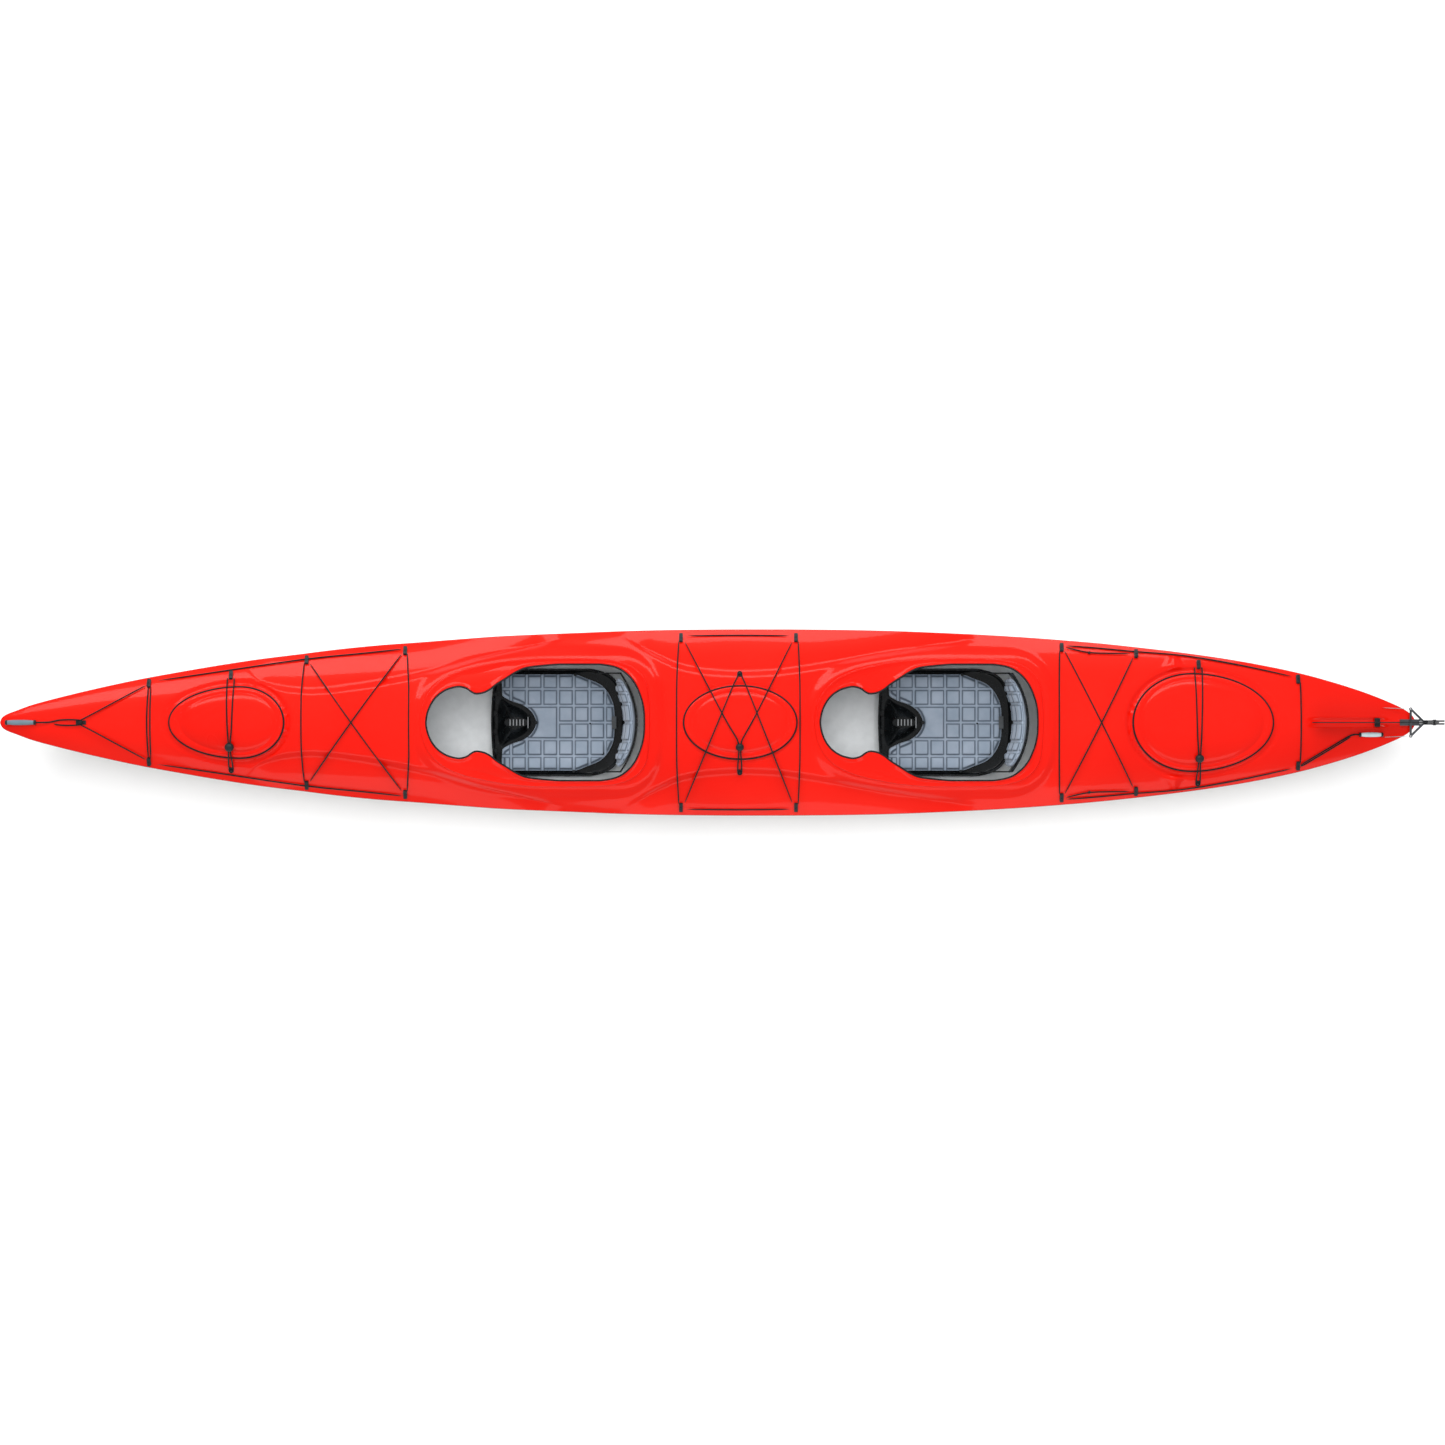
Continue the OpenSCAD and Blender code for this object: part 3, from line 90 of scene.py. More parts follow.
# cockpits: the opening's half width from its fore end, and the outer line of the coaming
COCKPITS = (1602, 3084)
OPENING = [(0, 0), (4, 30), (14, 60), (32, 90), (58, 114), (90, 130), (126, 137), (155, 130), (175, 116),
           (190, 110), (215, 114), (240, 126), (264, 145), (300, 168), (342, 194), (376, 208), (427, 215),
           (512, 221), (580, 221), (648, 221), (690, 216), (722, 207), (760, 182), (789, 147), (808, 105),
           (818, 72), (823, 36), (824, 0)]
COAMING = [(-21, 0), (-16, 44), (2, 98), (37, 144), (95, 183), (206, 217), (330, 237), (438, 244), (553, 244),
           (669, 240), (746, 225), (800, 194), (831, 144), (840, 82), (843, 0)]
# hatches: station of the widest point, reach fore and aft of it, width
HATCHES = {"bow": (901, 261, 164, 262), "day": (2785, 210, 210, 270), "stern": (4490, 220, 303, 362)}
# recess round each hatch: width fore and aft, depth fore and aft
RECESSES = {"bow": (26, 28, 4, 11), "day": (16, 16, 4, 4), "stern": (28, 24, 11, 5)}


def smooth(table, at):
    """A smooth curve through a table of (station, value) that never overshoots its points."""
    xs, ys = np.array(table, float).T
    gap = np.diff(xs)
    rise = np.diff(ys) / gap
    slope = np.zeros(len(xs))
    same_way = rise[:-1] * rise[1:] > 0
    near, far = 2 * gap[1:] + gap[:-1], gap[1:] + 2 * gap[:-1]
    with np.errstate(divide="ignore", invalid="ignore"):
        slope[1:-1] = np.where(same_way, (near + far) / (near / rise[:-1] + far / rise[1:]), 0)
    slope[0], slope[-1] = rise[0], rise[-1]
    at = np.clip(at, xs[0], xs[-1])
    k = np.clip(np.searchsorted(xs, at) - 1, 0, len(xs) - 2)
    t = (at - xs[k]) / gap[k]
    return (ys[k] * (1 + 2 * t) * (1 - t) ** 2 + slope[k] * gap[k] * t * (1 - t) ** 2
            + ys[k + 1] * t * t * (3 - 2 * t) + slope[k + 1] * gap[k] * t * t * (t - 1))


def ease(t):
    """From 0 to 1 with no corner at either end."""
    t = np.clip(t, 0, 1)
    return t * t * (3 - 2 * t)


def crown(s, y):
    """Height of the plain cambered deck."""
    across = np.minimum(1, np.abs(y) / np.maximum(smooth(HALF, s), 1))
    return smooth(SHEER, s) + smooth(CAMBER, s) * (1 - across ** 2.2)


def loop_of(side, count, shift=0):
    """Evenly spaced points on a smooth closed line through one side's points, anticlockwise from above."""
    points = np.array([(side[1][0], -side[1][1]), *side, (side[-2][0], -side[-2][1])], float)
    along = np.concatenate([[0], np.cumsum(np.hypot(*np.diff(points, axis=0).T))])
    fine = np.linspace(along[1], along[-2], 3000)
    line = np.stack([smooth(list(zip(along, points[:, k])), fine) for k in (0, 1)], 1)
    run = np.concatenate([[0], np.cumsum(np.hypot(*np.diff(line, axis=0).T))])
    even = np.linspace(0, run[-1], count // 2 + 1)
    starboard = np.stack([np.interp(even, run, line[:, k]) for k in (0, 1)], 1)
    port = starboard * (1, -1)
    return np.concatenate([port, starboard[-2:0:-1]]) + (shift, 0)


def grown(loop, by):
    """The loop moved outwards by a distance."""
    run = np.roll(loop, -1, axis=0) - np.roll(loop, 1, axis=0)
    outward = np.stack([run[:, 1], -run[:, 0]], 1) / np.hypot(*run.T)[:, None]
    return loop + by * outward


def outside(loop, s, y):
    """Distance outside a closed loop, negative within it, and the nearest point on it."""
    best = np.full(np.shape(s), 1e9)
    near_s, near_y = np.zeros_like(best), np.zeros_like(best)
    within = np.zeros(np.shape(s), bool)
    for (s0, y0), (s1, y1) in zip(loop, np.roll(loop, -1, axis=0)):
        t = np.clip(((s - s0) * (s1 - s0) + (y - y0) * (y1 - y0)) / ((s1 - s0) ** 2 + (y1 - y0) ** 2), 0, 1)
        ps, py = s0 + t * (s1 - s0), y0 + t * (y1 - y0)
        gap = np.hypot(s - ps, y - py)
        closer = gap < best
        best = np.where(closer, gap, best)
        near_s, near_y = np.where(closer, ps, near_s), np.where(closer, py, near_y)
        if y0 != y1:
            within ^= ((y0 > y) != (y1 > y)) & (s < (s1 - s0) * (y - y0) / (y1 - y0) + s0)
    return np.where(within, -best, best), near_s, near_y


def hatch_loop(hatch, by, count=96):
    """The outline of a hatch lid, scaled until its sides lie a distance outside the lid's own."""
    middle, fore, aft, width = HATCHES[hatch]
    turn = np.arange(count) * 2 * math.pi / count
    reach = np.where(np.cos(turn) > 0, aft, fore)
    return (1 + 2 * by / width) * np.stack([np.cos(turn) * reach, width / 2 * np.sin(turn)], 1) + (middle, 0)


# ---- the ways pieces are made ----

def pick(*pieces):
    """Only these pieces are selected, and the first is active."""
    bpy.ops.object.select_all(action="DESELECT")
    for piece in pieces:
        piece.select_set(True)
    bpy.context.view_layer.objects.active = pieces[0]


def in_edit(piece, *steps):
    """Runs edit mode operators, with their settings, on the whole mesh."""
    pick(piece)
    bpy.ops.object.mode_set(mode="EDIT")
    bpy.ops.mesh.select_all(action="SELECT")
    for operator, settings in steps:
        operator(**settings)
    bpy.ops.object.mode_set(mode="OBJECT")


def modified(piece, kind, **settings):
    """Adds a modifier and applies it."""
    pick(piece)
    modifier = piece.modifiers.new(kind.title(), kind)
    for name, value in settings.items():
        setattr(modifier, name, value)
    bpy.ops.object.modifier_apply(modifier=modifier.name)
    return piece


def coordinates(piece):
    """The mesh's points in millimetres, with x as a station."""
    points = np.empty(len(piece.data.vertices) * 3)
    piece.data.vertices.foreach_get("co", points)
    return points.reshape(-1, 3) / MM + (MIDSHIPS, 0, 0)


def move_points(piece, points):
    """Puts the mesh's points at these places, in millimetres, with x as a station."""
    piece.data.vertices.foreach_set("co", ((np.asarray(points) - (MIDSHIPS, 0, 0)) * MM).ravel())
    piece.data.update()


def joined(name, *pieces):
    """Several meshes made one."""
    pick(*pieces)
    bpy.ops.object.join()
    pieces[0].name = pieces[0].data.name = name
    return pieces[0]


def skin(name, points, wrap_rows=False, wrap_columns=False, solid=True):
    """A grid whose rows and columns of points are put in place, and closed on themselves where asked."""
    points = np.asarray(points, float)
    if wrap_rows:
        points = np.concatenate([points, points[:1]])
    if wrap_columns:
        points = np.concatenate([points, points[:, :1]], 1)
    rows, columns = points.shape[:2]
    bpy.ops.object.select_all(action="DESELECT")
    bpy.ops.mesh.primitive_grid_add(x_subdivisions=rows - 1, y_subdivisions=columns - 1, size=1)
    piece = bpy.context.object
    piece.name = piece.data.name = name
    flat = np.empty(len(piece.data.vertices) * 3)
    piece.data.vertices.foreach_get("co", flat)
    flat = flat.reshape(-1, 3)
    i = np.rint((flat[:, 0] + 0.5) * (rows - 1)).astype(int)
    j = np.rint((flat[:, 1] + 0.5) * (columns - 1)).astype(int)
    move_points(piece, points[i, j])
    steps = [(bpy.ops.mesh.remove_doubles, {"threshold": 1e-6})]
    if solid:
        steps.append((bpy.ops.mesh.normals_make_consistent, {"inside": False}))
    in_edit(piece, *steps)
    return piece


def face_up(piece):
    """Turns an open sheet over if it faces down."""
    if sum(face.normal.z * face.area for face in piece.data.polygons) < 0:
        in_edit(piece, (bpy.ops.mesh.flip_normals, {}))
    return piece


def walled(piece, thickness, outer, inner):
    """Gives an open sheet its wall, with one finish outside and another inside."""
    for finish in (outer, inner):
        piece.data.materials.append(FINISH[finish])
    return modified(piece, "SOLIDIFY", thickness=thickness * MM, offset=-1,
                    material_offset=1, material_offset_rim=0)


def swept(name, loop, profile, base=crown):
    """A closed profile of (outward, up) carried round a loop on the deck."""
    height = base(loop[:, 0], loop[:, 1])
    columns = [np.column_stack([grown(loop, out), height + up]) for out, up in profile]
    return skin(name, np.stack(columns, 1), wrap_rows=True, wrap_columns=True)


def eased(node, width, segments=2, angle=35, rounds=0):
    """A copy of a CAD node with its corners merged, its edges eased and its bends rounded."""
    source = NODES[node]
    piece = source.copy()
    piece.data = source.data.copy()
    piece.parent = None
    piece.matrix_world.identity()
    bpy.context.scene.collection.objects.link(piece)
    piece.name = piece.data.name = node + "_made"
    in_edit(piece, (bpy.ops.mesh.remove_doubles, {"threshold": 1e-5}),
            (bpy.ops.mesh.dissolve_limited, {"angle_limit": math.radians(0.6)}))
    if width:
        modified(piece, "BEVEL", width=width * MM, segments=segments, limit_method="ANGLE",
                 angle_limit=math.radians(angle), harden_normals=False)
    if rounds:
        modified(piece, "SUBSURF", levels=rounds, render_levels=rounds)
    return piece


def finished(piece, body, finishes, *nodes, slot=None, angle=35):
    """Gives a piece its finishes and shading, and hands it to the body that it moves with."""
    pick(piece)
    finishes = finishes if isinstance(finishes, (list, tuple)) else [finishes]
    sides = np.zeros(len(piece.data.polygons), int)
    piece.data.polygons.foreach_get("material_index", sides)
    piece.data.materials.clear()
    for finish in finishes:
        piece.data.materials.append(finish)
    piece.data.polygons.foreach_set("material_index", np.minimum(sides, len(finishes) - 1))
    bpy.ops.object.shade_smooth_by_angle(angle=math.radians(angle))
    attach(piece, body)
    if nodes:
        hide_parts(*nodes)
    return piece


def paint(piece, index, chosen):
    """Gives the faces that chosen picks, by their middle in millimetres, another of the piece's finishes."""
    for face in piece.data.polygons:
        x, y, z = face.center / MM
        if chosen(x + MIDSHIPS, y, z):
            face.material_index = index


# ---- finishes ----

# a noise texture with this scale has features 1 mm across, and a wave texture has bands 1 mm apart
NOISE_1MM = 1000
WAVE_1MM = 314


def colour(code):
    """An sRGB hex colour as the linear one that the shaders take."""
    values = [int(code[k:k + 2], 16) / 255 for k in (1, 3, 5)]
    return [v / 12.92 if v <= 0.04045 else ((v + 0.055) / 1.055) ** 2.4 for v in values] + [1]


def add(tree, kind, settings=(), links=()):
    """Adds a node with its settings and its links."""
    node = tree.nodes.new(kind)
    for name, value in dict(settings).items():
        if hasattr(node, name):
            setattr(node, name, value)
        else:
            node.inputs[name].default_value = value
    for name, source in dict(links).items():
        tree.links.new(source, node.inputs[name])
    return node


def start_finish(name, settings):
    """An empty material with its main shader, and the place on the piece that patterns read."""
    material = bpy.data.materials.new(name)
    material.use_nodes = True
    tree = material.node_tree
    tree.nodes.clear()
    shader = add(tree, "ShaderNodeBsdfPrincipled", settings)
    add(tree, "ShaderNodeOutputMaterial", links={"Surface": shader.outputs["BSDF"]})
    place = add(tree, "ShaderNodeTexCoord").outputs["Object"]
    return material, tree, shader, place


def tint(tree, shader, amount, low, high, socket="Base Color"):
    """Spreads a pattern's 0 to 1 between two colours."""
    ramp = add(tree, "ShaderNodeValToRGB", links={"Fac": amount})
    ramp.color_ramp.elements[0].color = colour(low)
    ramp.color_ramp.elements[1].color = colour(high)
    ramp.color_ramp.elements[0].position, ramp.color_ramp.elements[1].position = 0.3, 0.7
    tree.links.new(ramp.outputs["Color"], shader.inputs[socket])


def roughen(tree, shader, amount, low, high):
    """Spreads a pattern's 0 to 1 between two roughnesses."""
    spread = add(tree, "ShaderNodeMapRange", {"To Min": low, "To Max": high}, {"Value": amount})
    tree.links.new(spread.outputs["Result"], shader.inputs["Roughness"])


def emboss(tree, shader, height, strength, depth):
    """Raises a pattern by a depth in millimetres."""
    bump = add(tree, "ShaderNodeBump", {"Strength": strength, "Distance": depth * MM}, {"Height": height})
    tree.links.new(bump.outputs["Normal"], shader.inputs["Normal"])


def gloss_sheet(name, low, high):
    """Thermoformed ABS sheet with an acrylic cap: wet gloss over even colour, with the faint ripple left by
    vacuum forming and a slight drift in shade where the sheet was stretched."""
    material, tree, shader, place = start_finish(name, {
        "Roughness": 0.36, "IOR": 1.49, "Specular IOR Level": 0.14, "Specular Tint": colour("#FFD9BE"),
        "Coat Weight": 0.3, "Coat Roughness": 0.05, "Coat IOR": 1.45, "Coat Tint": colour("#FFF1E6")})
    drift = add(tree, "ShaderNodeTexNoise", {"Scale": NOISE_1MM / 420, "Detail": 2.0}, {"Vector": place})
    ripple = add(tree, "ShaderNodeTexNoise", {"Scale": NOISE_1MM / 55, "Detail": 2.0}, {"Vector": place})
    tint(tree, shader, drift.outputs["Fac"], low, high)
    roughen(tree, shader, drift.outputs["Fac"], 0.24, 0.36)
    emboss(tree, shader, ripple.outputs["Fac"], 0.35, 0.25)
    return material


def grained_plastic(name, low, high, rough, grain=2.2):
    """Injection-moulded nylon or polythene: satin, with a spark-eroded grain, dulled unevenly by handling.
    The real grain is about 0.5 mm and is drawn coarser so that it shows."""
    material, tree, shader, place = start_finish(name, {"IOR": 1.5, "Specular IOR Level": 0.3})
    speck = add(tree, "ShaderNodeTexNoise", {"Scale": NOISE_1MM / grain, "Detail": 3.0}, {"Vector": place})
    wear = add(tree, "ShaderNodeTexNoise", {"Scale": NOISE_1MM / 38, "Detail": 4.0}, {"Vector": place})
    tint(tree, shader, wear.outputs["Fac"], low, high)
    roughen(tree, shader, wear.outputs["Fac"], rough - 0.08, rough + 0.1)
    emboss(tree, shader, speck.outputs["Fac"], 0.3, 0.25)
    return material


def extruded_rubber(name, low, high):
    """EPDM rubber edging: a dull black skin with a fine matt bloom."""
    material, tree, shader, place = start_finish(name, {"IOR": 1.52, "Specular IOR Level": 0.3})
    bloom = add(tree, "ShaderNodeTexNoise", {"Scale": NOISE_1MM / 14, "Detail": 5.0}, {"Vector": place})
    tint(tree, shader, bloom.outputs["Fac"], low, high)
    roughen(tree, shader, bloom.outputs["Fac"], 0.5, 0.72)
    emboss(tree, shader, bloom.outputs["Fac"], 0.25, 0.3)
    return material


def bands(tree, direction, place):
    """Bands 3 mm apart, one after another along a direction."""
    settings = {"wave_type": "BANDS", "bands_direction": direction, "Scale": WAVE_1MM / 3.0}
    return add(tree, "ShaderNodeTexWave", settings, {"Vector": place})


def braided_cord(name, low, high):
    """Braided polyester over elastic: crossing strands about 1.5 mm wide, with a dull sheen on each."""
    material, tree, shader, place = start_finish(name, {
        "Roughness": 0.62, "IOR": 1.5, "Specular IOR Level": 0.25,
        "Sheen Weight": 0.12, "Sheen Roughness": 0.5})
    strands = []
    for turn in (0.785, -0.785):
        turned = add(tree, "ShaderNodeMapping", {"Rotation": (0.5, 0.4, turn)}, {"Vector": place})
        strands.append(bands(tree, "X", turned.outputs["Vector"]))
    weave = add(tree, "ShaderNodeMath", {"operation": "MULTIPLY"})
    for socket, strand in zip(weave.inputs, strands):
        tree.links.new(strand.outputs["Fac"], socket)
    tint(tree, shader, weave.outputs["Value"], low, high)
    emboss(tree, shader, weave.outputs["Value"], 0.6, 0.5)
    return material


def woven_nylon(name, low, high, seam):
    """Coated nylon cloth laminated to foam: a plain weave drawn at 3 mm so that it shows, a soft sheen at
    grazing angles, and slow changes of shade where hands and hips have rubbed it. The walls of the sewn
    channels are darkened towards the seam colour as painted shade."""
    material, tree, shader, place = start_finish(name, {
        "IOR": 1.5, "Sheen Weight": 0.3, "Sheen Roughness": 0.4, "Specular IOR Level": 0.35})
    warp, weft = bands(tree, "X", place), bands(tree, "Y", place)
    weave = add(tree, "ShaderNodeMath", {"operation": "MAXIMUM"})
    tree.links.new(warp.outputs["Fac"], weave.inputs[0])
    tree.links.new(weft.outputs["Fac"], weave.inputs[1])
    rub = add(tree, "ShaderNodeTexNoise", {"Scale": NOISE_1MM / 70, "Detail": 4.0}, {"Vector": place})
    tint(tree, shader, rub.outputs["Fac"], low, high)
    # painted shade: the walls of the sewn channels are mixed towards the darker seam colour
    crease = add(tree, "ShaderNodeAttribute", {"attribute_name": "crease"})
    shade = add(tree, "ShaderNodeMixRGB", {"Color2": colour(seam)}, {
        "Fac": crease.outputs["Fac"], "Color1": shader.inputs["Base Color"].links[0].from_socket})
    tree.links.new(shade.outputs["Color"], shader.inputs["Base Color"])
    roughen(tree, shader, rub.outputs["Fac"], 0.55, 0.75)
    emboss(tree, shader, weave.outputs["Value"], 0.35, 0.3)
    return material


def drawn_metal(name, low, high, rough):
    """Drawn or folded metal: fine lengthwise lines left by the die, and a slightly uneven sheen."""
    material, tree, shader, place = start_finish(name, {"Metallic": 1.0})
    along = add(tree, "ShaderNodeMapping", {"Scale": (0.06, 1, 1)}, {"Vector": place})
    lines = add(tree, "ShaderNodeTexNoise", {"Scale": NOISE_1MM / 1.5, "Detail": 3.0},
                {"Vector": along.outputs["Vector"]})
    stain = add(tree, "ShaderNodeTexNoise", {"Scale": NOISE_1MM / 30, "Detail": 3.0}, {"Vector": place})
    tint(tree, shader, stain.outputs["Fac"], low, high)
    roughen(tree, shader, lines.outputs["Fac"], rough - 0.08, rough + 0.1)
    emboss(tree, shader, lines.outputs["Fac"], 0.2, 0.1)
    return material


def cellular_foam(name, low, high):
    """Closed-cell foam plank: a pale matt face with cut cells 2 to 3 mm across."""
    material, tree, shader, place = start_finish(name, {"Roughness": 0.85, "IOR": 1.45})
    cells = add(tree, "ShaderNodeTexVoronoi", {"Scale": NOISE_1MM / 3.0}, {"Vector": place})
    tint(tree, shader, cells.outputs["Distance"], low, high)
    emboss(tree, shader, cells.outputs["Distance"], 0.5, 0.5)
    return material


FINISH = {
    "deck_red": gloss_sheet("acrylic_capped_sheet_red", "#DC1004", "#E7170A"),
    "hull_white": gloss_sheet("acrylic_capped_sheet_white", "#E4E5E4", "#EEEFEE"),
    "inside": grained_plastic("bare_sheet_inside", "#E2E5E6", "#EDF0F1", 0.42, 4.0),
    "seam_red": gloss_sheet("bonded_seam_strip_red", "#A81812", "#B81D15"),
    "rubber_black": extruded_rubber("epdm_edging_black", "#0E0F10", "#1A1B1D"),
    "foam_white": cellular_foam("closed_cell_foam", "#D2D4D2", "#E2E3E1"),
    "cord_black": braided_cord("braided_polyester_black", "#060607", "#151617"),
    "plastic_black": grained_plastic("moulded_nylon_black", "#17191A", "#25282A", 0.4),
    "seat_black": grained_plastic("rotomoulded_polythene_black", "#0C0E0F", "#171A1C", 0.26, 3.5),
    "tub_grey": grained_plastic("formed_polythene_grey", "#45484A", "#53575A", 0.5),
    "toggle_grey": grained_plastic("moulded_grip_slate", "#61747F", "#718590", 0.36),
    "toggle_pale": grained_plastic("moulded_grip_pale_blue", "#BBD0D6", "#CBDDE1", 0.36),
    "steel": drawn_metal("stainless_steel", "#B4B5B6", "#C8C9CA", 0.3),
    "dark_steel": drawn_metal("blackened_steel", "#2A2C2E", "#3A3C3F", 0.4),
    "alloy": drawn_metal("anodised_aluminium_grey", "#5F6266", "#74777B", 0.42),
    # bright metal for the tops of the seat lever's ribs, a painted highlight on the black grip
    "rib_painted_highlight": drawn_metal("bright_metal_painted_highlight", "#B4B8BB", "#C9CCCF", 0.36),
    "blade_black": grained_plastic("anodised_blade_black", "#151618", "#1F2123", 0.38),
    # the last colour is painted shade for the walls of the cushion's sewn channels
    "cushion_grey": woven_nylon("laminated_nylon_blue_grey", "#8C9AAA", "#9DA9B8", "#4E5864"),
}


# ---- deck and hull ----

LOOP_POINTS = 240
KEYHOLE = loop_of(OPENING, LOOP_POINTS)
OVAL = loop_of(COAMING, LOOP_POINTS)
SHOULDERS_AT = 4424
GROOVE_START, GROOVE_END = 4912, 5205


def scoop(s, y, crease):
    """Depth of the scoop between a crease and the deck edge."""
    edge, line = smooth(HALF, s), smooth(crease, s)
    across = (np.abs(y) - line) / np.maximum(edge - line, 1)
    ends = ease((s - crease[0][0]) / 130) * ease((crease[-1][0] - s) / 130)
    return np.where((across > 0) & (across < 1), 12 * ends * ease(across / 0.18) * (1 - across) / 0.82, 0)


def deck_height(s, y):
    """Height of the moulded deck: camber, scoops, cockpit swells, hatch recesses and the rudder's groove."""
    z = crown(s, y) - scoop(s, y, FORE_CREASE) - scoop(s, y, MID_CREASE)
    for fore in COCKPITS:
        beyond = outside(OVAL[::4] + (fore, 0), s, y)[0]
        aft = ease((s - fore - 640) / 160)
        z += 12 * (1 - ease((beyond - 4 - 22 * aft) / (46 - 12 * aft)))
    for hatch, (fore_w, aft_w, fore_d, aft_d) in RECESSES.items():
        middle = HATCHES[hatch][0]
        beyond = outside(hatch_loop(hatch, 5, 48), s, y)[0]
        aft = ease((s - middle + 130) / 260)
        wide, deep = fore_w + (aft_w - fore_w) * aft, fore_d + (aft_d - fore_d) * aft
        z -= deep * ease(beyond / 5) * (1 - ease((beyond - wide + 12) / 12))
    # small peaked shoulders beside the stern hatch
    out = (np.abs(y) - 196) / 62
    reach = 14 + 56 * (1 - np.clip(out, 0, 1)) ** 2
    peak = np.clip(1 - np.abs(s - SHOULDERS_AT) / reach, 0, 1)
    z += 12 * ease(out / 0.3) * (1 - ease((out - 0.8) / 0.2)) * peak
    # groove that the stowed rudder blade lies over
    along = ease((s - GROOVE_START) / 70) * (1 - ease((s - GROOVE_END) / 30))
    z -= 8 * along * (1 - ease((np.abs(y) - 6) / 15))
    return z


def deck_sheet():
    """The deck's top sheet: columns of points follow the creases, and the openings are cut and trued."""
    rows = np.concatenate([[0, 0.5, 2, 5], np.arange(10, 5320, 9.9),
                           [5320, 5325, 5329, 5331.5, 5333.3, 5334]])
    bend = [(0, 0.62), (700, 0.62)] + [(s, y / smooth(HALF, s)) for s, y in FORE_CREASE + MID_CREASE] \
        + [(3920, 0.62), (5334, 0.62)]
    split, half_columns = 0.625, 48
    u = np.arange(-half_columns, half_columns + 1) / half_columns
    s, u = np.meshgrid(rows, u, indexing="ij")
    edge = smooth(HALF, s)
    line = edge * smooth(bend, s)
    y = np.sign(u) * np.where(np.abs(u) <= split, line * np.abs(u) / split,
                              line + (edge - line) * (np.abs(u) - split) / (1 - split))
    piece = face_up(skin("deck", np.stack([s, y, deck_height(s, y)], 2), solid=False))
    cuts = [grown(KEYHOLE, 7)[::2] + (fore, 0) for fore in COCKPITS]
    cuts += [hatch_loop(hatch, -22, 72) for hatch in HATCHES]
    middles = np.array([face.center for face in piece.data.polygons]) / MM + (MIDSHIPS, 0, 0)
    inside = np.zeros(len(middles), bool)
    for cut in cuts:
        inside |= outside(cut, middles[:, 0], middles[:, 1])[0] < 0
    pick(piece)
    bpy.ops.object.mode_set(mode="EDIT")
    bpy.ops.mesh.select_all(action="DESELECT")
    bpy.ops.mesh.select_mode(type="FACE")
    bpy.ops.object.mode_set(mode="OBJECT")
    piece.data.polygons.foreach_set("select", inside)
    bpy.ops.object.mode_set(mode="EDIT")
    bpy.ops.mesh.delete(type="FACE")
    bpy.ops.object.mode_set(mode="OBJECT")
    points = coordinates(piece)
    uses = np.zeros(len(piece.data.edges), int)
    for face in piece.data.polygons:
        for key in face.loop_indices:
            uses[piece.data.loops[key].edge_index] += 1
    rim = np.zeros(len(points), bool)
    for edge_used, count in zip(piece.data.edges, uses):
        if count == 1:
            rim[list(edge_used.vertices)] = True
    for cut in cuts:
        far, s, y = outside(cut, points[:, 0], points[:, 1])
        close = rim & (np.abs(far) < 16)
        points[close, 0], points[close, 1] = s[close], y[close]
    points[:, 2] = deck_height(points[:, 0], points[:, 1])
    move_points(piece, points)
    return walled(piece, SHEET, "deck_red", "inside")


def coaming(fore):
    """One cockpit's moulded rim: a rolled inner edge, dished thigh braces and a raised outer bead."""
    inner = KEYHOLE + (fore, 0)
    # each point of the opening is paired with the point of the outer line at the same share of the length
    side = np.array(COAMING, float)
    share = (KEYHOLE[:, 0] - KEYHOLE[:, 0].min()) / np.ptp(KEYHOLE[:, 0])
    station = side[0, 0] + share * (side[-1, 0] - side[0, 0])
    half = OVAL[:LOOP_POINTS // 2 + 1]
    half = half[np.argsort(half[:, 0])]
    breadth = np.abs(np.interp(station, half[:, 0], half[:, 1]))
    outer = np.column_stack([station, np.sign(KEYHOLE[:, 1]) * breadth]) + (fore, 0)
    across = outer - inner
    width = np.hypot(*across.T)
    way = across / width[:, None]
    dip = np.minimum(5, width / 14)
    profile = [(0, -8), (0, 9), (0.4, 12.5), (1.6, 14.2), (4, 15)]
    columns = [np.column_stack([inner + way * out, crown(*inner.T) + up]) for out, up in profile]
    for part in (0.25, 0.5, 0.75):
        spot = inner + way * (4 + (width - 14) * part)[:, None]
        columns.append(np.column_stack([spot, crown(*spot.T) + 15 - dip * math.sin(math.pi * part)]))
    for back, up in ((10, 15.2), (8, 16.6), (6, 17.8), (4, 18), (2, 17), (0.6, 15), (0, 12.4), (-2.5, 8)):
        spot = outer - way * back
        columns.append(np.column_stack([spot, crown(*spot.T) + up]))
    piece = face_up(skin("coaming", np.stack(columns, 1), wrap_rows=True, solid=False))
    return walled(piece, 2.5, "deck_red", "inside")


deck = joined("deck_moulding", deck_sheet(), *[coaming(fore) for fore in COCKPITS])
finished(deck, "boat", [FINISH["deck_red"], FINISH["inside"]], "deck_shell", angle=50)


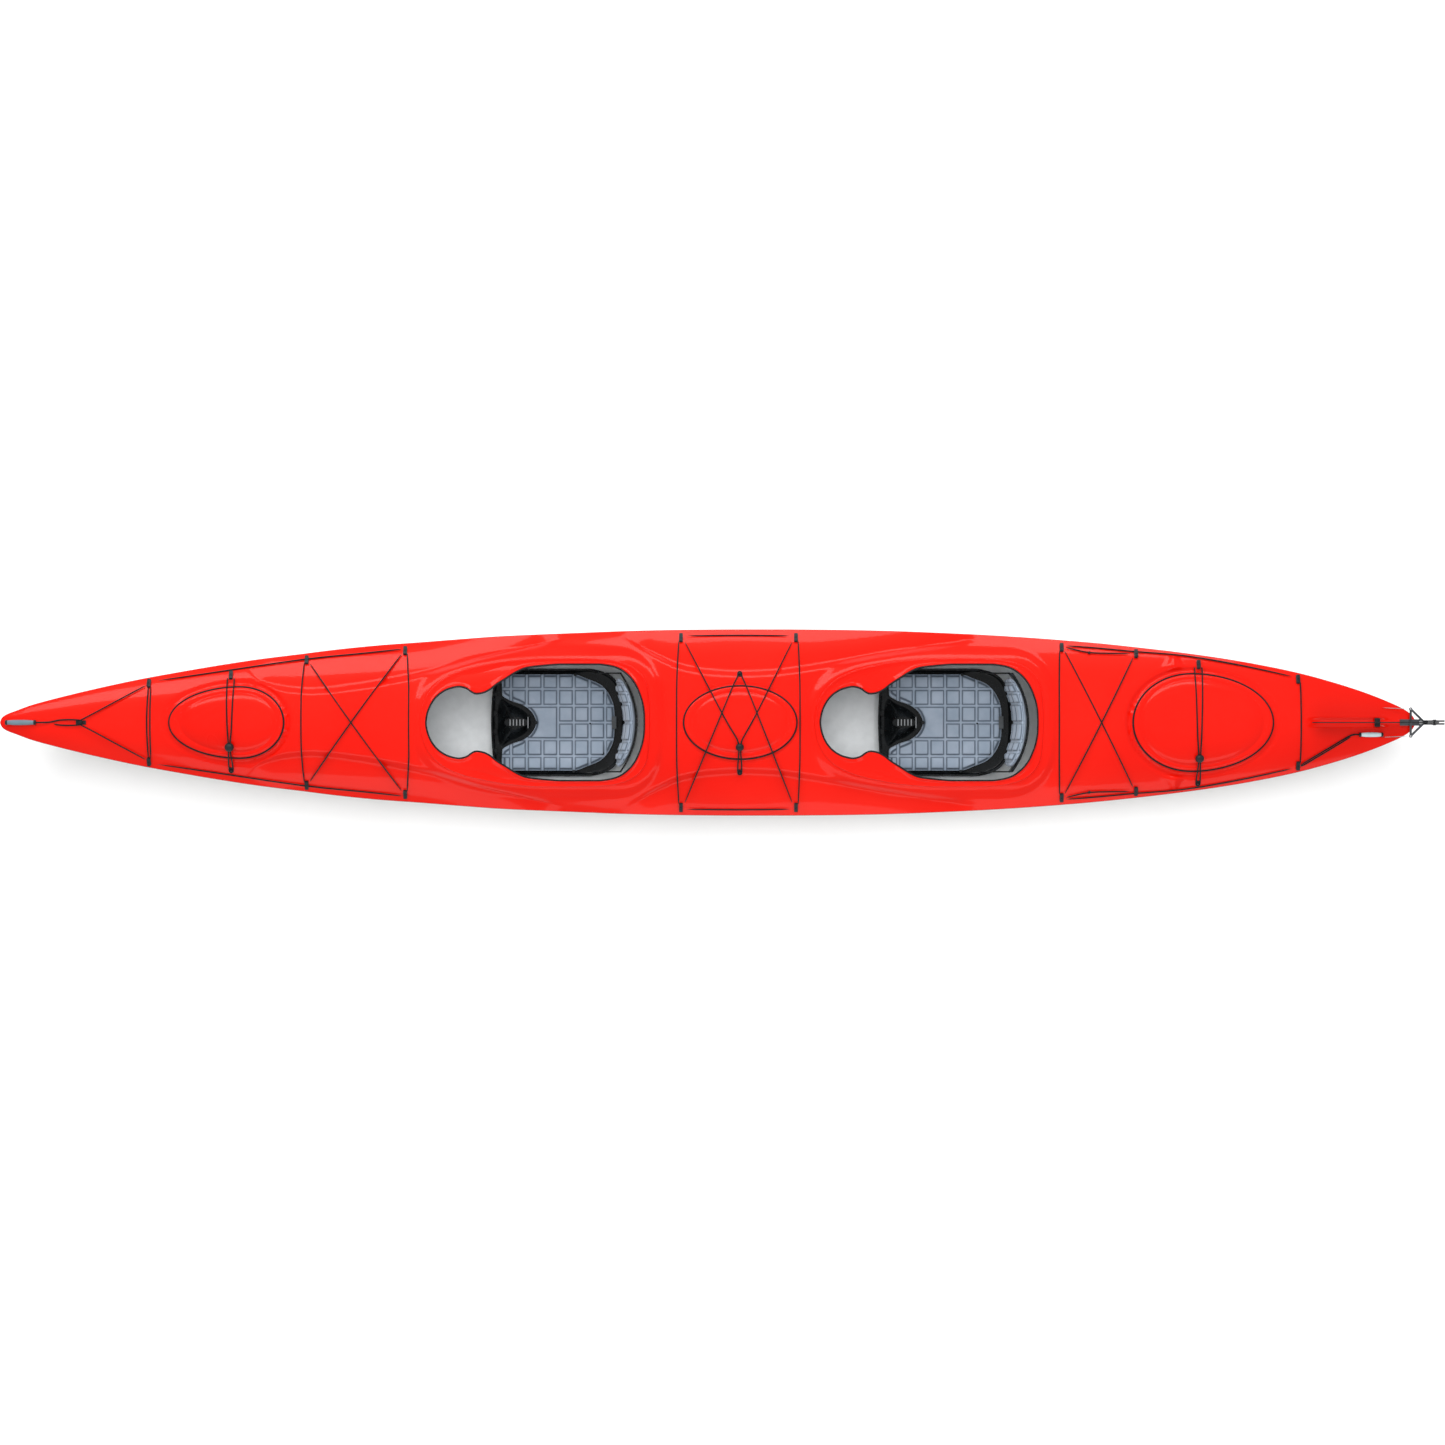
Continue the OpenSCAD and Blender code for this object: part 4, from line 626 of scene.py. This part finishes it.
def hull_sheet():
    """The hull's outer sheet, from the bow's stem to the stern, thickened inwards."""
    rows = np.concatenate([[0, 0.5, 2, 5, 10, 17, 26, 36, 48], np.arange(60, 5280, 18),
                           [5290, 5300, 5310, 5320, 5327, 5331, 5333.3, 5334]])
    steps = np.linspace(0, len(SECTION) - 1, 25)
    out = smooth([(k, p[0]) for k, p in enumerate(SECTION)], steps)
    up = smooth([(k, p[1]) for k, p in enumerate(SECTION)], steps)
    out, up = np.concatenate([out[:0:-1], -out]), np.concatenate([up[:0:-1], up])
    top = smooth(SHEER, rows) - SHEET - 0.35
    keel = smooth(KEEL, rows)
    points = np.stack([np.repeat(rows[:, None], len(out), 1), smooth(HALF, rows)[:, None] * out,
                       keel[:, None] + (top - keel)[:, None] * up], 2)
    piece = skin("hull_moulding", points, solid=False)
    if sum(face.normal.z * face.area for face in piece.data.polygons) > 0:
        in_edit(piece, (bpy.ops.mesh.flip_normals, {}))
    return walled(piece, SHEET, "hull_white", "inside")


finished(hull_sheet(), "boat", [FINISH["hull_white"], FINISH["inside"]], "hull_shell", angle=60)


def seam(side):
    """The bonded strip over the joint of hull and deck on one side, with rounded edges."""
    rows = np.concatenate([[3, 6, 10, 17, 26, 36, 48], np.arange(60, 5280, 24),
                           [5290, 5300, 5310, 5320, 5327]])
    edge, sheer = smooth(HALF, rows), smooth(SHEER, rows)
    profile = [(0.2, -14), (1.4, -14), (1.9, -13), (2.1, -8.5), (1.9, -3.6), (1.3, -2.6), (0.2, -2.6)]
    points = np.stack([np.column_stack([rows, side * (edge + out), sheer + up]) for out, up in profile], 1)
    return skin("seam", points, wrap_columns=True)


finished(joined("seam_strips_made", seam(-1), seam(1)), "boat", FINISH["seam_red"], "seam_strips")

EDGING = [(0.9, 9), (1.3, 12), (0.8, 15), (-1, 16.6), (-3, 16.9), (-4.8, 15.8), (-5.3, 13), (-4.8, 10),
          (-2.5, 8.6)]
edging = [swept("edging", KEYHOLE + (fore, 0), EDGING) for fore in COCKPITS]
finished(joined("cockpit_edging", *edging), "boat", FINISH["rubber_black"], "cockpit_trims", angle=60)

# ---- hatches ----

GASKET_TOP = 3.8
LID_BASE = 4.4


def gasket(hatch):
    """The rubber seal that a lid sits on, with a lip that shows round the lid's rim."""
    profile = [(-15, 0.9), (5.6, 0.9), (6.5, 1.8), (6.5, 3.4), (5.4, 4.3), (1.5, 4.4), (0.2, GASKET_TOP),
               (-14, GASKET_TOP)]
    return swept("gasket", hatch_loop(hatch, 0), profile)


finished(joined("hatch_gaskets_made", *[gasket(hatch) for hatch in HATCHES]), "boat", FINISH["rubber_black"],
         "hatch_gaskets", angle=60)


def lid(hatch, dome):
    """A hatch lid: a rolled rim, a pressed groove inside it, and a low crowned panel."""
    width = HATCHES[hatch][3]
    rings = [(0, 0.3), (0.4, 2.4), (-0.6, 4.2), (-2.6, 5.6), (-6, 6.5), (-11, 6.6), (-14.5, 6), (-17, 4.6),
             (-19.5, 4.6), (-22, 6.2), (-27, 8.6), (-34, 10.6), (-46, 12.4), (-64, dome), (-92, dome + 0.8),
             (-width / 2, dome + 1)]
    columns = []
    for by, up in rings:
        loop = hatch_loop(hatch, by, 128)
        columns.append(np.column_stack([loop, crown(*loop.T) + LID_BASE + up]))
    piece = face_up(skin(hatch + "_hatch_lid_made", np.stack(columns, 1), wrap_rows=True, solid=False))
    walled(piece, 3.2, "deck_red", "inside")
    return finished(piece, hatch + "_lid", [FINISH["deck_red"], FINISH["inside"]],
                    hatch + "_hatch_lid", angle=60)


for hatch, dome in (("bow", 13.4), ("day", 13.2), ("stern", 13.6)):
    lid(hatch, dome)

# ---- fittings carried over from the frame, with eased edges ----

EASED = {  # node: (edge radius, finish)
    "day_hatch_tub": (0, "tub_grey"), "deck_clips": (1.2, "plastic_black"),
    "deck_clip_screws": (0.5, "dark_steel"), "cord_hooks": (1.2, "plastic_black"),
    "rudder_rest": (1.5, "plastic_black"), "cable_tubes": (0, "plastic_black"),
    "seat_rails": (1.5, "alloy"), "foot_rails": (1.5, "alloy"), "rudder_bracket": (1, "alloy"),
    "rudder_head": (1.2, "plastic_black"), "rudder_yoke": (1, "alloy"), "rudder_yaw_pin": (0.8, "steel"),
    "blade_pivot_bolt": (0.8, "steel"), "rudder_blade": (1.2, "blade_black"),
    "front_back_frame": (1.5, "seat_black"), "rear_back_frame": (1.5, "seat_black"),
    "front_foot_peg_port": (3, "plastic_black"), "front_foot_peg_starboard": (3, "plastic_black"),
    "pedal_carrier_port": (1.5, "plastic_black"), "pedal_carrier_starboard": (1.5, "plastic_black"),
    "rudder_pedal_port": (3, "plastic_black"), "rudder_pedal_starboard": (3, "plastic_black"),
}
for node, (radius, finish) in EASED.items():
    finished(eased(node, radius), BODY_OF[node], FINISH[finish], node, angle=40)
for node in ("bow_bulkhead", "mid_bulkhead", "stern_bulkhead"):
    wall = eased(node, 1.5)
    points = coordinates(wall)
    points[:, 2] = np.minimum(points[:, 2], deck_height(points[:, 0], points[:, 1]) - SHEET - 2)
    move_points(wall, points)
    finished(wall, "boat", FINISH["foam_white"], node, angle=40)
for node in ("bow_strap_ball", "day_strap_ball", "stern_strap_ball", "cord_stoppers"):
    finished(eased(node, 0, rounds=1), BODY_OF[node], FINISH["plastic_black"], node, angle=60)
for node in ("perimeter_lines", "bow_bungee", "fore_bungee", "mid_bungee", "aft_bungee", "bow_toggle_cord",
             "stern_toggle_cord", "bow_hatch_strap", "day_hatch_strap_starboard", "day_hatch_strap_port",
             "stern_hatch_strap"):
    cord = modified(eased(node, 0, rounds=1), "DISPLACE", strength=0.45 * MM, mid_level=0)
    finished(cord, BODY_OF[node], FINISH["cord_black"], node, angle=60)


# ---- rudder cables, which run between the hull and the yoke: rounded, and left unattached ----

cables = eased("rudder_cables", 0, rounds=1)
pick(cables)
cables.data.materials.clear()
cables.data.materials.append(FINISH["steel"])
bpy.ops.object.shade_smooth_by_angle(angle=math.radians(60))
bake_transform(cables)
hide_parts("rudder_cables")


# ---- grab toggles ----

def grip(node, finish):
    """A spindle-shaped grip with dark end caps, bored for its cord."""
    low, high = (np.array(corner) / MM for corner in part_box(node))
    length, radius = high[0] - low[0], (high[1] - low[1]) / 2
    start = MIDSHIPS + low[0]
    middle = (low + high) / 2
    fall = high[2] - low[2] - 2 * radius
    body = [(8.6, 0.72), (14, 0.84), (0.28 * length, 0.96), (0.5 * length, 1)]
    half = [(0, 0.36), (0, 0.74), (0.8, 0.9), (3, 0.98), (6.5, 0.98), (8, 0.9), (8.3, 0.72)] + body
    profile = half + [(length - at, r) for at, r in half[-2::-1]]
    turn = np.arange(32) * 2 * math.pi / 32
    rows = [[(start + at, middle[1] + radius * r * math.cos(angle),
              middle[2] + (0.5 - at / length) * fall + radius * r * math.sin(angle)) for at, r in profile]
            for angle in turn]
    piece = skin(node + "_made", rows, wrap_rows=True, wrap_columns=True)
    finished(piece, "boat", [FINISH[finish], FINISH["plastic_black"]], node, angle=50)
    paint(piece, 1, lambda x, y, z: x < start + 8.4 or x > start + length - 8.4)


grip("bow_toggle", "toggle_grey")
grip("stern_toggle", "toggle_pale")

# ---- seats ----

CUSHION = [(-98, 0), (-106, 25), (-140, 60), (-197, 87), (-225, 110), (-225, 165), (-219, 183), (-205, 195),
           (60, 195), (112, 178), (166, 154), (206, 107), (223, 56), (225, 0)]
PAN = [(-256, 0), (-253, 90), (-246, 150), (-236, 188), (-212, 203), (110, 203), (170, 191), (216, 160),
       (244, 100), (252, 0)]
POMMEL = [(-240, 0), (-238, 60), (-222, 98), (-197, 80), (-140, 53), (-110, 22), (-104, 0)]
SEATS = {"front": 2091, "rear": 3573}
PAN_Z = 34.2
CUSHION_Z = 38.55
# sewn tiles of the cushion
FIRST_SEAM, TILE_LONG, TILE_WIDE = -182.5, 60, 64
# the backrest pad is curved about an axis this far fore of the seat's middle, at these radii
PAD_AXIS, PAD_FACE, PAD_BACK = 11, 281.5, 305
# the cushion's buttons: place, height on the cushion and radius
BUTTONS = [(63, 183, 23, 6), (168, 113, 22, 6), (168, -118, 22, 6), (57, -187, 22, 6), (-88, 0, 26, 7),
           (120, -4, 23, 3.5)]


def puffed(piece, voxel, limit):
    """Blows a closed shape up as sewn cloth over foam, with no point moving further than a limit."""
    modified(piece, "REMESH", mode="VOXEL", voxel_size=voxel * MM, adaptivity=0)
    before = coordinates(piece)
    pick(piece)
    cloth = piece.modifiers.new("Cloth", "CLOTH")
    cloth.settings.use_pressure = True
    cloth.settings.uniform_pressure_force = 4
    cloth.settings.effector_weights.gravity = 0
    scene = bpy.context.scene
    for step in range(1, 21):
        scene.frame_set(step)
    bpy.ops.object.modifier_apply(modifier=cloth.name)
    scene.frame_set(1)
    after = coordinates(piece)
    shift = after - before
    size = np.linalg.norm(shift, axis=1, keepdims=True)
    move_points(piece, before + shift * np.minimum(1, limit / np.maximum(size, 1e-6)))
    return modified(piece, "SUBSURF", levels=1, render_levels=1)


def slab(name, loop, low, high):
    """A flat slab with a given outline."""
    bpy.ops.object.select_all(action="DESELECT")
    bpy.ops.mesh.primitive_circle_add(vertices=len(loop), fill_type="NGON")
    piece = bpy.context.object
    piece.name = piece.data.name = name
    move_points(piece, np.column_stack([loop, np.full(len(loop), low)]))
    lift = {"TRANSFORM_OT_translate": {"value": (0, 0, (high - low) * MM)}}
    in_edit(piece, (bpy.ops.mesh.extrude_region_move, lift),
            (bpy.ops.mesh.select_all, {"action": "SELECT"}),
            (bpy.ops.mesh.normals_make_consistent, {"inside": False}))
    return piece


def channel(distance, half):
    """1 in the bottom of a sewn channel and 0 beyond its edges."""
    return 1 - ease((np.abs(distance) - 0.35 * half) / half)


def channel_walls_for_painted_shade(piece, groove):
    """Stores the walls of the cloth's sewn channels, where the finish darkens the cloth's colour as painted
    shade.
    """
    wall = piece.data.attributes.new("crease", "FLOAT", "POINT")
    wall.data.foreach_set("value", 4 * groove * (1 - groove))
    return piece


def seat_cushion(middle):
    """The seat cushion: sewn tiles, with one plain tile behind the pommel."""
    blank = slab("seat_cushion", grown(loop_of(CUSHION, 200), -5), CUSHION_Z + 1.5, CUSHION_Z + 23)
    piece = puffed(blank, 5, 6)
    points = coordinates(piece)
    x, y, z = points.T
    normals = np.empty(len(points) * 3)
    piece.data.vertices.foreach_get("normal", normals)
    upper = ease((normals.reshape(-1, 3)[:, 2] - 0.1) / 0.5)
    seams_x = [FIRST_SEAM + TILE_LONG * k for k in range(7)]
    plain = (x > -93) & (x < -5) & (np.abs(y) < 60)
    groove = np.zeros(len(x))
    for at in seams_x:
        groove = np.maximum(groove, np.where(plain & (abs(at + 62.5) < 1), 0, channel(x - at, 7)))
    for k in range(-2, 3):
        groove = np.maximum(groove, np.where(plain & (k == 0), 0, channel(y - TILE_WIDE * k, 7)))
    tile_x, tile_y = ((x - FIRST_SEAM) / TILE_LONG) % 1 - 0.5, (y / TILE_WIDE) % 1 - 0.5
    crest = np.where(plain, 0.6, (1 - 4 * tile_x ** 2) * (1 - 4 * tile_y ** 2))
    edge = outside(loop_of(CUSHION, 200)[::2], x, y)[0]
    seam = 0.6 * channel(edge + 17, 4) * (z > CUSHION_Z + 12)
    groove = np.maximum(groove, seam)
    points[:, 2] = z + upper * (1.6 * crest - 7 * groove)
    points[:, 2] = np.maximum(points[:, 2], CUSHION_Z + 0.3)
    move_points(piece, points + (middle, 0, 0))
    # the walls of the channels are stored for the finish's painted shade
    return channel_walls_for_painted_shade(piece, groove * upper)


def back_pad(middle):
    """The backrest pad: a curved band, thicker at its foot, with channels down its face."""
    low, high, rows = 97.2, 267.2, np.linspace(-1, 1, 41)
    turn = np.arange(28) * 2 * math.pi / 28
    points = []
    for part in rows:
        angle = math.asin(180 / 309.5) * part
        ends = math.sqrt(max(0, 1 - abs(part) ** 9))
        ring = []
        for t in turn:
            out = math.copysign(abs(math.cos(t)) ** 0.45, math.cos(t))
            up = math.copysign(abs(math.sin(t)) ** 0.35, math.sin(t))
            z = (low + high) / 2 + 80 * up * (0.5 + 0.5 * ends)
            foot = 30 * (high - z) / (high - low)
            front = PAD_FACE + 4 - foot
            radius = (front + PAD_BACK) / 2 + (PAD_BACK - front) / 2 * out * ends
            ring.append((middle - PAD_AXIS + radius * math.cos(angle), radius * math.sin(angle), z))
        points.append(ring)
    piece = puffed(skin("back_pad", points, wrap_columns=True), 5.5, 4)
    points = coordinates(piece)
    normals = np.empty(len(points) * 3)
    piece.data.vertices.foreach_get("normal", normals)
    normals = normals.reshape(-1, 3)
    x, y, z = points.T
    groove = np.zeros(len(x))
    for at in (-146, -111, -70, 0, 70, 111, 146):
        groove = np.maximum(groove, channel(y - at, 7))
    facing = ease((-normals[:, 0] * 0.8 + normals[:, 2] * 0.8) / 0.5)
    for at in (150, 208):
        groove = np.maximum(groove, channel(z - at, 7))
    radius = np.hypot(x - middle + PAD_AXIS, y)
    groove = np.maximum(groove, channel(radius - 291, 5) * (z > high - 25))
    points -= normals * (6 * groove * facing)[:, None]
    move_points(piece, points)
    # the walls of the channels are stored for the finish's painted shade
    return channel_walls_for_painted_shade(piece, groove * facing)


def seat_pan(middle):
    """The moulded pan: a tray with a rolled rim, a saddle-shaped pommel, feet on the rails and pivot ears."""
    outline = loop_of(PAN, 160)
    profile = [(-60, 4), (-22, 4), (-11, 4.4), (-6.5, 7), (-5, 14), (-4.4, 26), (-2.5, 30), (0.5, 31),
               (3, 29.5), (3.4, 27), (1.2, 25.5), (0.2, 22), (0, 9), (-2, 2), (-7, 0), (-22, 0), (-60, 0)]
    columns = []
    for out, up in profile:
        loop = outline * 0 if out == -60 else grown(outline, out)
        columns.append(np.column_stack([loop, np.full(len(loop), PAN_Z + up)]))
    tray = skin("tray", np.stack(columns, 1) + (middle, 0, 0), wrap_rows=True)
    saddle = loop_of(POMMEL, 96)
    heart = np.array([-165, 0])
    columns = []
    for share in (1.02, 1.0, 0.97, 0.93, 0.87, 0.8, 0.72, 0.63, 0.53, 0.42, 0.3, 0.16, 0):
        rise = 57 * (1 - ease(share ** 1.25))
        height = PAN_Z + 3 + rise - 3 * (share > 1)
        columns.append(np.column_stack([heart + (saddle - heart) * share, np.full(96, height)]))
    pommel = skin("pommel", np.stack(columns, 1) + (middle, 0, 0), wrap_rows=True, solid=False)
    face_up(pommel)
    extras = []
    blocks = [(fore * 85, side * 30, PAN_Z - 4, 50, 14, 12) for fore in (-1, 1) for side in (-1, 1)]
    blocks += [(140, side * 194, PAN_Z + 32, 26, 6, 62) for side in (-1, 1)]
    blocks += [(-116, side * 24, 75, 12, 4, 64) for side in (-1, 1)]
    blocks += [(-243, side * y, PAN_Z + 12, 16, 22, 22) for side in (-1, 1) for y in (36, 112)]
    for x, y, z, long, wide, tall in blocks:
        bpy.ops.object.select_all(action="DESELECT")
        bpy.ops.mesh.primitive_cube_add(size=1, location=((middle - MIDSHIPS + x) * MM, y * MM, z * MM),
                                        scale=(long * MM, wide * MM, tall * MM))
        block = bpy.context.object
        bpy.ops.object.transform_apply(location=True, rotation=True, scale=True)
        extras.append(modified(block, "BEVEL", width=1.4 * MM, segments=2))
    return joined("seat_pan", tray, pommel, *extras)


def small_disc(name, x, y, z, radius, height):
    """A low round button with a rounded top."""
    turn = np.arange(20) * 2 * math.pi / 20
    profile = [(0, 0), (radius, 0), (radius, 0.5 * height), (0.85 * radius, 0.85 * height),
               (0.5 * radius, height), (0, height)]
    rows = [[(x + r * math.cos(a), y + r * math.sin(a), z + up) for r, up in profile] for a in turn]
    return skin(name, rows, wrap_rows=True)


def fastenings(middle):
    """Buttons that hold the cushion down."""
    parts = [small_disc("button", middle + x, y, CUSHION_Z + up, r, 3.5) for x, y, up, r in BUTTONS]
    return joined("cushion_buttons", *parts)


def tag(middle):
    """The cushion's plain sewn tag."""
    outline = np.array([(-9, -24), (9, -24), (9, 24), (-9, 24)], float) + (middle + 212, 0)
    piece = slab("cushion_tag", outline, CUSHION_Z + 27, CUSHION_Z + 29.5)
    modified(piece, "BEVEL", width=1 * MM, segments=2)
    modified(piece, "SUBSURF", levels=1, render_levels=1)
    return piece


def copy_of(piece, shift, name):
    """A copy with its own mesh, moved aft."""
    again = piece.copy()
    again.data = piece.data.copy()
    bpy.context.scene.collection.objects.link(again)
    again.name = again.data.name = name
    move_points(again, coordinates(again) + (shift, 0, 0))
    return again


front = SEATS["front"]
patterns = [make(front) for make in (seat_cushion, back_pad, seat_pan, fastenings, tag)]
for row, middle in SEATS.items():
    cushion, pad, pan, buttons, label = (
        copy_of(part, middle - front, row + "_" + part.name) for part in patterns)
    finished(cushion, row + "_seat", FINISH["cushion_grey"], row + "_seat_cushion", angle=80)
    finished(pad, row + "_backrest", FINISH["cushion_grey"], row + "_back_pad", angle=80)
    finished(pan, row + "_seat", FINISH["seat_black"], row + "_seat_pan", angle=50)
    finished(buttons, row + "_seat", FINISH["plastic_black"], slot="plastic_black", angle=50)
    finished(label, row + "_seat", FINISH["tub_grey"], slot="tub_grey", angle=50)
    lever = eased(row + "_seat_lever", 0.8)
    finished(lever, row + "_lever", [FINISH["seat_black"], FINISH["rib_painted_highlight"]],
             row + "_seat_lever", angle=40)
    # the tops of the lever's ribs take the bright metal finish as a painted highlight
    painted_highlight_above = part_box(row + "_seat_lever")[1][2] / MM - 1.2
    paint(lever, 1, lambda x, y, z: z > painted_highlight_above)
for part in patterns:
    bpy.data.objects.remove(part)

# ---- floor, light and camera ----

bpy.ops.object.select_all(action="DESELECT")
bpy.ops.mesh.primitive_plane_add(size=160, location=(0, 0, -0.001))
floor = bpy.context.object
floor.name = "floor"
floor_finish, tree, shader, place = start_finish(
    "painted_studio_floor", {"Roughness": 0.9, "Specular IOR Level": 0.1})
mottle = add(tree, "ShaderNodeTexNoise", {"Scale": 2.0, "Detail": 2.0}, {"Vector": place})
tint(tree, shader, mottle.outputs["Fac"], "#F4F4F4", "#F7F7F7")
floor.data.materials.append(floor_finish)

world = bpy.data.worlds.new("studio")
bpy.context.scene.world = world
world.use_nodes = True
world.node_tree.nodes["Background"].inputs["Color"].default_value = colour("#FAFBFC")
world.node_tree.nodes["Background"].inputs["Strength"].default_value = 0.56


def softbox(name, place, aim, size, power):
    """A rectangular studio light turned to face a point."""
    light = bpy.data.lights.new(name, "AREA")
    light.shape = "RECTANGLE"
    light.size, light.size_y = size
    light.energy = power
    lamp = bpy.data.objects.new(name, light)
    bpy.context.scene.collection.objects.link(lamp)
    lamp.location = place
    way = np.array(aim, float) - np.array(place, float)
    tilt = math.atan2(math.hypot(way[0], way[1]), -way[2])
    lamp.rotation_euler = (tilt, 0, math.atan2(way[1], way[0]) - math.pi / 2)


softbox("key_softbox", (-0.6, 3.6, 3.0), (0, 0, 0.2), (7.0, 1.4), 150)
softbox("fill_softbox", (0.4, -4.2, 3.4), (0, 0, 0.2), (7.0, 1.6), 60)
overhead = bpy.data.lights.new("overhead_light", "SUN")
overhead.energy = 1.65
overhead.angle = 0.7
lamp = bpy.data.objects.new("overhead_light", overhead)
lamp.rotation_euler = (-0.2, 0, 0)
lamp.visible_glossy = False
bpy.context.scene.collection.objects.link(lamp)

# a long lens straight above the middle; its frame is this many metres wide at the deck's mean level
LENS, SENSOR = 100, 36
FRAME_WIDTH, DECK_LEVEL = 5.459, 0.27
camera_data = bpy.data.cameras.new("overhead_camera")
camera_data.lens = LENS
camera_data.sensor_width = SENSOR
camera_data.clip_end = 200
camera = bpy.data.objects.new("overhead_camera", camera_data)
camera.location = (0.0, 0.0, DECK_LEVEL + FRAME_WIDTH * LENS / SENSOR)
bpy.context.scene.collection.objects.link(camera)
bpy.context.scene.camera = camera
bpy.context.scene.view_settings.view_transform = "Standard"
